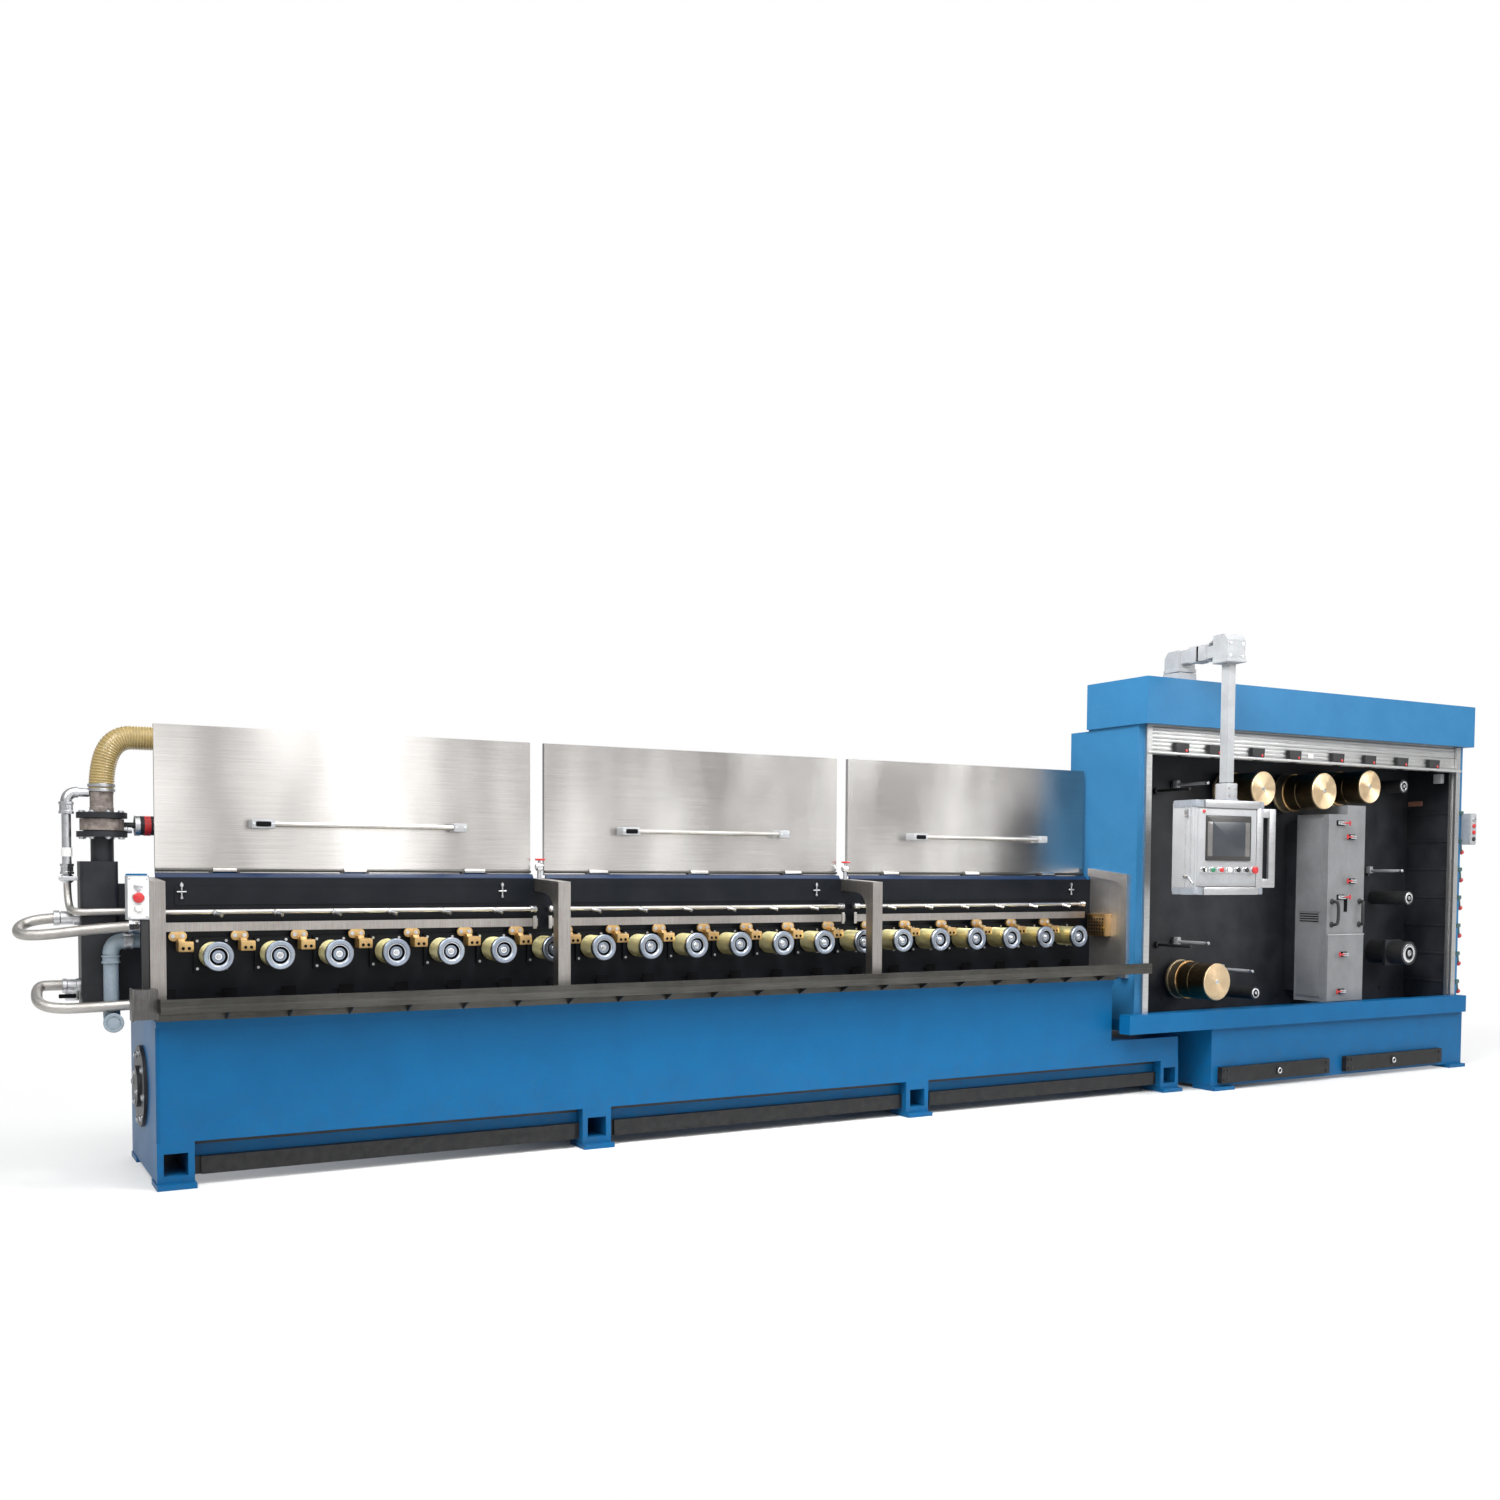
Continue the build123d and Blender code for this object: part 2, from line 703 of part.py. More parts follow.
outline += [(capstan_back_y, capstan_body_radius), (capstan_back_y, capstan_shaft_radius),
            (shaft_end_y, capstan_shaft_radius), (shaft_end_y, 0)]
for number in range(capstan_count):
    x = capstan_x(number)
    with BuildPart() as capstan:
        with BuildSketch(Plane.YZ.offset(x)):
            with BuildLine():
                Polyline(*[(y, capstan_z + radius) for y, radius in outline], close=True)
            make_face()
        revolve(axis=Axis((x, 0, capstan_z), (0, 1, 0)))
    keep(f"draw_capstan_{number + 1:02d}", capstan)

# Lids: folded pans that stand open, on knuckles round fixed pins, with a long handle
lid_spans = []
for bay in range(bay_count):
    right = rim_left_x if bay == bay_count - 1 else post_right_x(bay + 1) - post_width
    lid_spans.append((post_right_x(bay) + lid_side_gap, right - lid_side_gap))
lid_top_z = lid_bottom_z + lid_height
lid_back_y = lid_face_y + lid_depth


def knuckle_starts(x0, x1):
    """Left ends of a lid's knuckles, spread along its lower edge."""
    step = (x1 - x0) / knuckle_count
    return [x0 + (index + 0.5) * step - knuckle_length / 2 for index in range(knuckle_count)]


with BuildPart() as lid_hinges:
    for x0, x1 in lid_spans:
        bar_x(hinge_y, hinge_z, x0, x1, hinge_pin_radius)
        starts = knuckle_starts(x0, x1)
        for start in starts:
            for bracket_x in (start - hinge_bracket_width - hinge_clearance,
                              start + knuckle_length + hinge_clearance):
                slab(bracket_x, bracket_x + hinge_bracket_width, hinge_y - hinge_pin_radius,
                     hinge_y + hinge_pin_radius, chamber_top_z, hinge_z)
keep("lid_hinges", lid_hinges)

for bay, (x0, x1) in enumerate(lid_spans):
    with BuildPart() as lid:
        slab(x0, x1, lid_face_y, lid_back_y, lid_bottom_z, lid_top_z)
        slab(x0 + lid_sheet, x1 - lid_sheet, lid_face_y + lid_sheet, lid_back_y, lid_bottom_z + lid_sheet,
             lid_top_z - lid_sheet, Mode.SUBTRACT)
        for start in knuckle_starts(x0, x1):
            bar_x(hinge_y, hinge_z, start, start + knuckle_length, knuckle_radius)
            slab(start, start + knuckle_length, lid_face_y, hinge_y + knuckle_radius, hinge_z, lid_bottom_z)
            bar_x(hinge_y, hinge_z, start, start + knuckle_length, hinge_pin_radius + hinge_clearance,
                  Mode.SUBTRACT)
    keep(f"lid_{bay + 1}", lid)
    handle_z = lid_bottom_z + lid_handle_height
    handle_y = lid_face_y - lid_handle_reach
    left = (x0 + x1 - lid_handle_length) / 2 + lid_handle_shift
    right = left + lid_handle_length
    half = lid_handle_block / 2
    with BuildPart() as handle:
        bar_x(handle_y, handle_z, left, right, lid_handle_radius)
        slab(left, left + lid_handle_left_block, handle_y - half, lid_face_y,
             handle_z - half, handle_z + half)
        slab(right - lid_handle_right_block, right, handle_y - half, lid_face_y,
             handle_z - half, handle_z + half)
    keep(f"lid_{bay + 1}_handle", handle)

# Cabinet plinth and the floor it carries, with the sill beam along the front
with BuildPart() as cabinet_plinth:
    slab(plinth_left_x, cabinet_right_x, plinth_face_y, housing_back_y, pad_thickness, sill_low_z)
keep("cabinet_plinth", cabinet_plinth)

sill_back_y = cabinet_front_y + sill_depth
with BuildPart() as cabinet_sill:
    slab(cabinet_left_x - sill_overrun, cabinet_right_x - sill_shortfall, cabinet_front_y, sill_back_y,
         sill_low_z, sill_high_z)
    slab(cabinet_left_x, cabinet_right_x, sill_back_y, housing_back_y, sill_low_z, sill_low_z + floor_plate)
keep("cabinet_sill", cabinet_sill)

floor_z = sill_low_z + floor_plate
with BuildPart() as cabinet_side_walls:
    for x0 in (cabinet_left_x, cabinet_right_x - cabinet_wall):
        slab(x0, x0 + cabinet_wall, sill_back_y, cabinet_back_y, floor_z, hood_low_z)
keep("cabinet_side_walls", cabinet_side_walls)

# Hood: a deep box beam over the opening, hollow below for the rolled shutter
with BuildPart() as cabinet_hood:
    slab(cabinet_left_x - hood_overhang, cabinet_right_x, cabinet_front_y, cabinet_back_y,
         hood_low_z, hood_high_z)
    slab(cabinet_left_x + cabinet_wall, cabinet_right_x - cabinet_wall, cabinet_front_y + hood_sheet,
         back_plate_y, hood_low_z, hood_high_z - hood_sheet, Mode.SUBTRACT)
keep("cabinet_hood", cabinet_hood)

with BuildPart() as cabinet_back_plate:
    slab(cabinet_left_x + cabinet_wall, cabinet_right_x - cabinet_wall, back_plate_y, cabinet_back_y,
         floor_z, hood_low_z)
    for share, rise, radius in drum_places:
        x, z = along_cabinet(share), sill_high_z + rise
        bar_y(x, z, back_plate_y - drum_bearing_length, back_plate_y, drum_bearing_radius)
        bar_y(x, z, back_plate_y - drum_bearing_length, back_plate_y, drum_shaft_radius + shaft_clearance,
              Mode.SUBTRACT)
keep("cabinet_back_plate", cabinet_back_plate)

with BuildPart() as cabinet_rear_housing:
    slab(cabinet_left_x, cabinet_right_x, cabinet_back_y, housing_back_y,
         floor_z, hood_low_z - housing_top_gap)
keep("cabinet_rear_housing", cabinet_rear_housing)

# Roller shutter: slats with grooves between them, a bottom bar, and guides down both sides
opening_left_x = cabinet_left_x + cabinet_wall
opening_right_x = cabinet_right_x - cabinet_wall
shutter_low_z = hood_low_z - shutter_hang
shutter_high_z = hood_high_z - hood_sheet
curtain_left_x = opening_left_x + guide_width / 2 + shutter_edge_gap
curtain_right_x = opening_right_x - guide_width / 2 - shutter_edge_gap
slot_front_y = shutter_y + shutter_thickness / 2 - guide_slot / 2
with BuildPart() as roller_shutter:
    slab(curtain_left_x, curtain_right_x, shutter_y, shutter_y + shutter_thickness,
         shutter_low_z + shutter_bar_height, shutter_high_z)
    slats = int((hood_low_z - shutter_low_z - shutter_bar_height) / shutter_slat_pitch)
    for slat in range(1, slats + 1):
        z = shutter_low_z + shutter_bar_height + slat * shutter_slat_pitch
        slab(curtain_left_x, curtain_right_x, shutter_y, shutter_y + shutter_groove,
             z - shutter_groove / 2, z + shutter_groove / 2, Mode.SUBTRACT)
    bar_front_y = shutter_y - (shutter_bar_depth - shutter_thickness) / 2
    slab(curtain_left_x + guide_width / 2, curtain_right_x - guide_width / 2, bar_front_y,
         bar_front_y + shutter_bar_depth, shutter_low_z, shutter_low_z + shutter_bar_height)
    for x0, slot_x in ((opening_left_x, opening_left_x + guide_width / 2),
                       (opening_right_x - guide_width, opening_right_x - guide_width)):
        with BuildSketch(Plane.XY.offset(sill_high_z)):
            with Locations((x0 + guide_width / 2, guide_front_y + guide_depth / 2)):
                Rectangle(guide_width, guide_depth)
            with Locations((slot_x + guide_width / 4, slot_front_y + guide_slot / 2)):
                Rectangle(guide_width / 2, guide_slot, mode=Mode.SUBTRACT)
        extrude(amount=hood_low_z - sill_high_z)
keep("roller_shutter", roller_shutter)

# Brass drums: face with a hub bolt, long body, groove and proud ring at the rear, shaft
drum_back_y = back_plate_y - drum_bearing_length - capstan_running_gap
ring_y = drum_face_y + drum_length
for number, (share, rise, radius) in enumerate(drum_places):
    x, z = along_cabinet(share), sill_high_z + rise
    with BuildPart() as drum:
        with BuildSketch(Plane.YZ.offset(x)):
            with BuildLine():
                Polyline((drum_face_y - drum_hub_height, z),
                         (drum_face_y - drum_hub_height, z + drum_hub_radius),
                         (drum_face_y, z + drum_hub_radius), (drum_face_y, z + radius),
                         (ring_y - drum_groove_width, z + radius),
                         (ring_y - drum_groove_width, z + radius - drum_groove_depth),
                         (ring_y, z + radius - drum_groove_depth), (ring_y, z + radius + drum_ring_proud),
                         (ring_y + drum_ring_width, z + radius + drum_ring_proud),
                         (ring_y + drum_ring_width, z + drum_neck_radius), (drum_back_y, z + drum_neck_radius),
                         (drum_back_y, z + drum_shaft_radius),
                         (back_plate_y - bearing_end_gap, z + drum_shaft_radius),
                         (back_plate_y - bearing_end_gap, z), close=True)
            make_face()
        revolve(axis=Axis((x, 0, z), (0, 1, 0)))
    keep(f"brass_drum_{number + 1}", drum)

# Guide rollers with hollow hubs, and guide rods with an eyelet at the front
with BuildPart() as guide_rollers:
    for share, rise, radius in roller_places:
        x, z = along_cabinet(share), sill_high_z + rise
        bar_y(x, z, roller_face_y, back_plate_y, radius)
        bar_y(x, z, roller_face_y, roller_face_y + roller_hub_depth, radius - roller_rim, Mode.SUBTRACT)
    for share, rise in eyelet_places:
        x, z = along_cabinet(share), sill_high_z + rise
        bar_y(x, z, eyelet_face_y, back_plate_y, eyelet_rod_radius)
        bar_y(x, z, back_plate_y - eyelet_ring_radius, back_plate_y, eyelet_ring_radius)
keep("guide_rollers", guide_rollers)

# Annealing column: stepped top, a lower door, a slot, on a narrower mount from the back plate
column_left_x = along_cabinet(column_place)
column_right_x = column_left_x + column_width
column_middle_x = column_left_x + column_width / 2
column_back_y = column_face_y + column_depth
column_step_z = sill_high_z + column_step_height
column_slot_z = sill_high_z + column_slot_rise
with BuildPart() as annealing_column:
    slab(column_left_x, column_right_x, column_face_y, column_back_y, sill_high_z, column_step_z)
    slab(column_middle_x, column_right_x, column_face_y, column_back_y,
         column_step_z, column_step_z + column_crown)
    slab(column_left_x + column_door_gap, column_right_x - column_door_gap, column_face_y - column_door_proud,
         column_face_y, sill_high_z + column_door_gap, sill_high_z + column_door_height)
    slab(column_middle_x - column_slot_width / 2, column_middle_x + column_slot_width / 2, column_face_y,
         column_face_y + column_slot_depth, column_slot_z, column_slot_z + column_slot_height, Mode.SUBTRACT)
    slab(column_left_x + column_mount_inset, column_right_x - column_mount_inset, column_back_y, back_plate_y,
         sill_high_z + column_mount_inset, column_step_z - column_mount_inset)
keep("annealing_column", annealing_column)

# Hand levers with ball knobs, and the button box above them, on the right side
with BuildPart() as hand_levers:
    for number in range(lever_count):
        z = sill_high_z + lever_top_rise - number * lever_pitch
        bar_x(lever_y, z, cabinet_right_x, cabinet_right_x + lever_boss_height, lever_boss_radius)
        root_x = cabinet_right_x + lever_boss_height / 2
        slope = Plane((root_x, lever_y, z), x_dir=(0, 1, 0), z_dir=(lever_reach, 0, -lever_drop))
        with BuildSketch(slope):
            Circle(lever_radius)
        extrude(amount=math.hypot(lever_reach, lever_drop))
        with Locations((root_x + lever_reach, lever_y, z - lever_drop)):
            Sphere(lever_ball_radius)
        slab(cabinet_right_x - lever_boss_radius, cabinet_right_x, lever_y - lever_boss_radius,
             lever_y + lever_boss_radius, z - lever_boss_radius, z + lever_boss_radius, Mode.SUBTRACT)
    side_box_z = sill_high_z + side_box_rise
    slab(cabinet_right_x, cabinet_right_x + side_box_width, side_box_y, side_box_y + side_box_depth,
         side_box_z, side_box_z + side_box_height)
keep("hand_levers", hand_levers)

# Console jib: a fixed foot on the roof with a pin, an arm that swings on it
jib_low_z = hood_high_z + jib_base_height + swivel_gap
arm_half = jib_tube / 2
elbow_low_z = jib_z - jib_elbow_height / 2
with BuildPart() as jib_foot:
    slab(jib_x - jib_base_size / 2, jib_x + jib_base_size / 2, jib_y - jib_base_size / 2,
         jib_y + jib_base_size / 2, hood_high_z, hood_high_z + jib_base_height)
    bar_z(jib_x, jib_y, hood_high_z + jib_base_height, jib_z, jib_pin_radius)
keep("jib_foot", jib_foot)

drop_x = jib_x - jib_lean
drop_y = jib_y - jib_reach
arm_length = math.hypot(jib_lean, jib_reach)
arm_turn = -math.degrees(math.atan2(jib_lean, jib_reach))
console_high_z = jib_z - console_drop
console_low_z = console_high_z - console_height
socket_top_z = console_high_z + console_socket_height
with BuildPart() as console_arm:
    with Locations(Location((jib_x, jib_y, (jib_low_z + jib_z + arm_half) / 2), (0, 0, arm_turn))):
        Box(jib_box, jib_box, jib_z + arm_half - jib_low_z)
    with Locations(Location((drop_x, drop_y, jib_z), (0, 0, arm_turn))):
        Box(jib_box, jib_box, jib_elbow_height)
    top_edges = console_arm.edges().group_by(Axis.Z)[-1] + console_arm.faces().group_by(Axis.Z)[-2].edges()
    chamfer(top_edges.sort_by(Axis.Y)[0], jib_chamfer)
    back_edges = console_arm.edges().filter_by(Axis.Z, reverse=True).sort_by(Axis.Y)[-2:]
    chamfer(back_edges.sort_by(Axis.Z)[-1], jib_chamfer)
    with Locations(Location(((jib_x + drop_x) / 2, (jib_y + drop_y) / 2, jib_z), (0, 0, arm_turn))):
        Box(jib_tube, arm_length, jib_tube)
    slab(drop_x - drop_tube / 2, drop_x + drop_tube / 2, drop_y - drop_tube / 2, drop_y + drop_tube / 2,
         socket_top_z + swivel_gap, elbow_low_z)
    bar_z(drop_x, drop_y, socket_top_z - swivel_pin_depth, socket_top_z + swivel_gap, swivel_pin_radius)
    bar_z(jib_x, jib_y, jib_low_z, jib_z + shaft_clearance, jib_pin_radius + shaft_clearance, Mode.SUBTRACT)
keep("console_arm", console_arm)

# Console: a box with rounded corners, screen recess, button row, a flat side grip and swivel socket
console_x = drop_x - console_offset
console_face_y = drop_y - console_depth / 2
grip_x = console_x + console_width / 2
grip_y = console_face_y + console_grip_thickness / 2
grip_low_z = (console_low_z + console_high_z - console_grip_height) / 2
grip_high_z = grip_low_z + console_grip_height
screen_high_z = console_high_z - screen_drop
panel_x = console_x + panel_shift
with BuildPart() as console_box:
    slab(console_x - console_width / 2, grip_x, console_face_y, drop_y + console_depth / 2,
         console_low_z, console_high_z)
    fillet(console_box.edges().filter_by(Axis.Y), console_corner)
    slab(panel_x - screen_width / 2, panel_x + screen_width / 2, console_face_y, console_face_y + screen_recess,
         screen_high_z - screen_height, screen_high_z, Mode.SUBTRACT)
    for button in range(console_button_count):
        x = panel_x + (button - (console_button_count - 1) / 2) * console_button_pitch
        bar_y(x, console_low_z + console_button_rise, console_face_y - console_button_height, console_face_y,
              console_button_radius)
    slab(drop_x - console_socket / 2, drop_x + console_socket / 2, drop_y - console_socket / 2,
         drop_y + console_socket / 2, console_high_z, socket_top_z)
    bar_z(drop_x, drop_y, socket_top_z - swivel_pin_depth - shaft_clearance, socket_top_z,
          swivel_pin_radius + shaft_clearance, Mode.SUBTRACT)
    slab(grip_x, grip_x + console_grip_reach, grip_y, grip_y + console_grip_thickness, grip_low_z, grip_high_z)
    slab(grip_x, grip_x + console_grip_reach - console_grip_bar, grip_y, grip_y + console_grip_thickness,
         grip_low_z + console_grip_end, grip_high_z - console_grip_end, Mode.SUBTRACT)
keep("console_box", console_box)

# Coolant stack at the inlet: tank with a shoulder to the housing, pipe, valve with its actuator, upper pipe
stack_pipe_x = stack_x + stack_pipe_shift
valve_low_z = tank_high_z + valve_neck
valve_high_z = valve_low_z + valve_height
valve_middle_z = valve_low_z + valve_height / 2
stack_top_z = valve_high_z + stack_head
with BuildPart() as coolant_stack:
    slab(stack_x - tank_width / 2, stack_x + tank_width / 2, stack_y - tank_depth / 2, stack_y + tank_depth / 2,
         tank_low_z, tank_high_z)
    fillet(coolant_stack.edges().filter_by(Axis.Z), corner_radius)
    slab(stack_x + tank_width / 2, housing_end_gap, stack_y - tank_shoulder_depth / 2,
         stack_y + tank_shoulder_depth / 2, tank_low_z, tank_high_z - tank_shoulder_drop)
    bar_z(stack_pipe_x, stack_y, tank_high_z, stack_top_z, stack_pipe_radius)
    for z in (valve_low_z, valve_high_z - valve_plate):
        bar_z(stack_pipe_x, stack_y, z, z + valve_plate, valve_radius)
    bar_z(stack_pipe_x, stack_y, valve_low_z, valve_high_z, (stack_pipe_radius + valve_radius) / 2)
    actuator_x = stack_pipe_x + valve_radius + actuator_rod_length
    bar_x(stack_y, valve_middle_z, stack_pipe_x, actuator_x, actuator_rod_radius)
    bar_x(stack_y, valve_middle_z, actuator_x, actuator_x + actuator_length, actuator_radius)
keep("coolant_stack", coolant_stack)

# Spiral suction hose: up from the stack and over to the housing's top
hose_top_z = stack_top_z + hose_rise
with BuildPart() as suction_hose:
    tube_along(((stack_pipe_x, stack_y, stack_top_z), (stack_pipe_x, stack_y, hose_top_z),
                (hose_end_x, stack_y, hose_top_z), (hose_end_x, stack_y, chamber_top_z)), hose_bend, hose_radius)
keep("suction_hose", suction_hose)

# Braided hose loops between the housing and the tank, the branch pipe that leaves the stack's head,
# and the drain pipe with its open mouth
tank_left_x = stack_x - tank_width / 2
upper_loop_z = deck_z + upper_loop_rise
lower_loop_z = deck_z + lower_loop_rise
branch_x = stack_pipe_x - stack_pipe_radius - branch_reach
branch_y = drain_y + branch_set_back
branch_z = stack_top_z - branch_radius
branch_end_z = deck_z + branch_end_rise
drain_high_z = deck_z + drain_rise
drain_low_z = deck_z - drain_drop
with BuildPart() as coolant_hoses:
    for z, reach, climb in ((upper_loop_z, upper_loop_reach, upper_loop_climb),
                            (lower_loop_z, lower_loop_reach, lower_loop_climb)):
        tube_along(((housing_end_gap, loop_y, z), (-reach, loop_y, z), (-reach, stack_y, z + climb),
                    (tank_left_x, stack_y, z + climb)), loop_bend, coolant_hose_radius)
    tube_along(((stack_pipe_x - stack_pipe_radius, stack_y, branch_z), (branch_x, stack_y, branch_z),
                (branch_x, stack_y, deck_z + branch_low_rise), (branch_x + branch_step, branch_y, branch_end_z),
                (housing_end_gap, branch_y, branch_end_z)), branch_bend, branch_radius)
    tube_along(((housing_end_gap, drain_y, drain_high_z), (drain_x, drain_y, drain_high_z),
                (drain_x, drain_y, drain_low_z), (drain_x, drain_y - drain_mouth, drain_low_z)),
               drain_bend, drain_radius)
keep("coolant_hoses", coolant_hoses)

# Push-button station beside the first post
station_x = chamber_left_x - station_width / 2
station_low_z = deck_z + station_rise
with BuildPart() as button_station:
    slab(chamber_left_x - station_width, chamber_left_x, chamber_face_y, chamber_face_y + station_depth,
         station_low_z, station_low_z + station_height)
    for place in (-1, 0, 1):
        bar_y(station_x, station_low_z + station_height / 2 + place * station_button_pitch,
              chamber_face_y - station_button_height, chamber_face_y, station_button_radius)
keep("button_station", button_station)

# The origin is the middle of the machine's plan, on the floor
boxes = [piece.bounding_box() for piece in pieces.values()]
middle_x = (min(box.min.X for box in boxes) + max(box.max.X for box in boxes)) / 2
middle_y = (min(box.min.Y for box in boxes) + max(box.max.Y for box in boxes)) / 2
print(f"origin at X {middle_x:.4f}, Y {middle_y:.4f} of the modelling frame")
os.makedirs("parts", exist_ok=True)
for name, piece in pieces.items():
    placed = piece.moved(Location((-middle_x, -middle_y, 0)))
    placed.label = name
    export_step(placed, f"parts/{name}.step")
print(len(pieces), "pieces")
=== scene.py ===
# %% [markdown]
# A multi-wire drawing machine, dressed for its portrait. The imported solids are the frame: they give
# every size and every joint. This lesson adds what a solid model leaves out, such as paint, brushed
# steel, bolts, hoses, capstans with fine grooves and the console's face.

# %% Load the frame
import math
import bmesh
import bpy
from mathutils import Matrix, Vector


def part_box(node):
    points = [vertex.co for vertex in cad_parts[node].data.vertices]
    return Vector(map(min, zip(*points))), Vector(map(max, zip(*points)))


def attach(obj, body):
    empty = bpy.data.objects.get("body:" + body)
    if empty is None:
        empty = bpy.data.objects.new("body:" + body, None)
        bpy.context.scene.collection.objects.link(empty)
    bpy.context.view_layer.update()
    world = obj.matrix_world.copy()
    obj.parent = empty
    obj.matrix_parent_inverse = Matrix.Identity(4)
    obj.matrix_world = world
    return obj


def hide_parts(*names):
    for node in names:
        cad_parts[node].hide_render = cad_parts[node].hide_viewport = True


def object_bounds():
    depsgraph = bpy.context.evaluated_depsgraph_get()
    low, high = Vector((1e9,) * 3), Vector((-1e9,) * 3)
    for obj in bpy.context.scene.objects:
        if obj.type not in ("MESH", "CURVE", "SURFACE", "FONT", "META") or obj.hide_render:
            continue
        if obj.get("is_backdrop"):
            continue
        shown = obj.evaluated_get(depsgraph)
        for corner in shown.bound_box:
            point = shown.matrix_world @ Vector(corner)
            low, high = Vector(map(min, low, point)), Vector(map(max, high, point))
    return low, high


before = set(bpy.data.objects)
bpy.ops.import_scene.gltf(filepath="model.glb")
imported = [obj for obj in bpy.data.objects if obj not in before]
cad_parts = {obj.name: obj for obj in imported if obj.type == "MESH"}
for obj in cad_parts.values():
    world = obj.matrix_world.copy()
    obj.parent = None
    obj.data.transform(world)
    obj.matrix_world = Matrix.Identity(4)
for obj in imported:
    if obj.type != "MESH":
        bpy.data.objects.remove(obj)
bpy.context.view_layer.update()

# %% [markdown]
# The solids were drawn in millimetres from the base's left end and the floor pads' front edge, then
# moved to the middle of the plan. Two known faces give that move back, so that every number below can
# be read as a drawing size: X along the line, Y to the back, Z up.

# %% Drawing places to metres
MM = 0.001
origin_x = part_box("base_body")[0][0]
origin_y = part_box("gutter")[0][1] + 85 * MM


def spot(x, y, z):
    """A drawing place in millimetres, as a point of the scene in metres."""
    return Vector((origin_x + x * MM, origin_y + y * MM, z * MM))


CAPSTAN_FIRST, CAPSTAN_PITCH, CAPSTAN_Z = 244.0, 1602.0 / 7, 846.0
CABINET_LEFT, CABINET_RIGHT = 4830.0, 7560.0
print("drawing origin at", round(origin_x, 4), round(origin_y, 4))

# %% [markdown]
# The camera comes first, because every later choice is judged through it. The photograph was taken
# from the left, a little above waist height, with the picture's middle shifted up. The lens, turn and
# shift below come from lining up the machine's straight edges.

# %% Camera
camera_data = bpy.data.cameras.new("photo_camera")
camera_data.sensor_width = 36.0
camera_data.lens = 36.0 * 1414.4 / 1500
camera_data.shift_x = (750.0 - 710.4) / 1500
camera_data.shift_y = (934.5 - 750.0) / 1500
camera_data.clip_end = 200.0
camera = bpy.data.objects.new("photo_camera", camera_data)
bpy.context.collection.objects.link(camera)
turn = Matrix.Rotation(-0.50359, 4, "Z") @ Matrix.Rotation(math.pi / 2 - 0.04348, 4, "X") @ Matrix.Rotation(0.0044, 4, "Z")
camera.matrix_world = Matrix.Translation(spot(-707.5, -5445.0, 1171.4)) @ turn
bpy.context.scene.camera = camera
print("camera at", [round(v, 3) for v in camera.location])

# %% [markdown]
# A studio for machines is a pale floor and large soft lights. One wide softbox from the upper left
# models the forms, a second one fills the cabinet side, and a long one overhead draws a line along
# every top edge. Dim walls stand where the open lids mirror them, with three brighter panels before
# them, which gives brushed sheet its patches. The world is pale, darker towards the floor.

# %% Floor, lights and world
floor_mesh = bpy.data.meshes.new("studio_floor")
side = 60.0
floor_mesh.from_pydata([(-side, -side, 0), (side, -side, 0), (side, side, 0), (-side, side, 0)], [], [(0, 1, 2, 3)])
floor = bpy.data.objects.new("studio_floor", floor_mesh)
bpy.context.collection.objects.link(floor)
floor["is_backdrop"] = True


def softbox(name, place, target, size, power):
    """A rectangular area light that looks at a target."""
    data = bpy.data.lights.new(name, "AREA")
    data.shape = "RECTANGLE"
    data.size, data.size_y = size
    data.energy = power
    lamp = bpy.data.objects.new(name, data)
    bpy.context.collection.objects.link(lamp)
    direction = Vector(target) - Vector(place)
    lamp.rotation_euler = direction.to_track_quat("-Z", "Y").to_euler()
    lamp.location = place


softbox("key_light", (-3.6, -7.0, 6.2), (-0.5, 0, 0.9), (10.0, 5.5), 235)
softbox("fill_light", (5.5, -6.4, 6.0), (2.6, 0, 1.2), (8.0, 4.4), 250)
softbox("top_light", (0.0, -2.0, 6.5), (0.0, 0, 0.8), (13.0, 6.0), 340)
softbox("left_wall", (-1.4, -8.4, 1.9), (-1.4, 0, 1.9), (5.6, 3.6), 41)
softbox("middle_wall", (3.4, -8.4, 1.9), (3.4, 0, 1.9), (3.8, 3.6), 3.5)
softbox("right_wall", (7.7, -8.4, 1.9), (7.7, 0, 1.9), (4.6, 3.6), 12)
softbox("left_panel", (-0.8, -7.6, 2.1), (-0.8, 0, 2.1), (1.5, 2.2), 5)
softbox("middle_panel", (2.1, -7.6, 2.1), (2.1, 0, 2.1), (1.4, 2.2), 7)
softbox("right_panel", (6.0, -7.6, 2.1), (6.0, 0, 2.1), (0.8, 2.2), 4)
softbox("side_light", (-5.6, -2.6, 4.4), (1.2, 0.1, 1.8), (2.6, 2.6), 150)
softbox("cabinet_side_light", (-1.5, -1.8, 4.6), (1.23, 0.1, 1.8), (1.5, 1.5), 235)
softbox("cabinet_light", (5.2, -4.6, 3.8), (2.6, -0.2, 2.0), (3.0, 1.2), 95)
softbox("back_light", (1.0, 6.5, 4.5), (0.0, 0, 1.0), (8.0, 3.0), 190)
world = bpy.data.worlds.new("studio_world")
world.use_nodes = True
bpy.context.scene.world = world
wn, wl = world.node_tree.nodes, world.node_tree.links
wn.clear()
world_out = wn.new("ShaderNodeOutputWorld")
backdrop = wn.new("ShaderNodeBackground")
room = wn.new("ShaderNodeBackground")
which = wn.new("ShaderNodeMixShader")
path = wn.new("ShaderNodeLightPath")
place = wn.new("ShaderNodeTexCoord")
split = wn.new("ShaderNodeSeparateXYZ")
ramp = wn.new("ShaderNodeValToRGB")
ramp.color_ramp.elements[0].position = 0.42
ramp.color_ramp.elements[0].color = (0.30, 0.30, 0.31, 1)
ramp.color_ramp.elements[1].position = 0.75
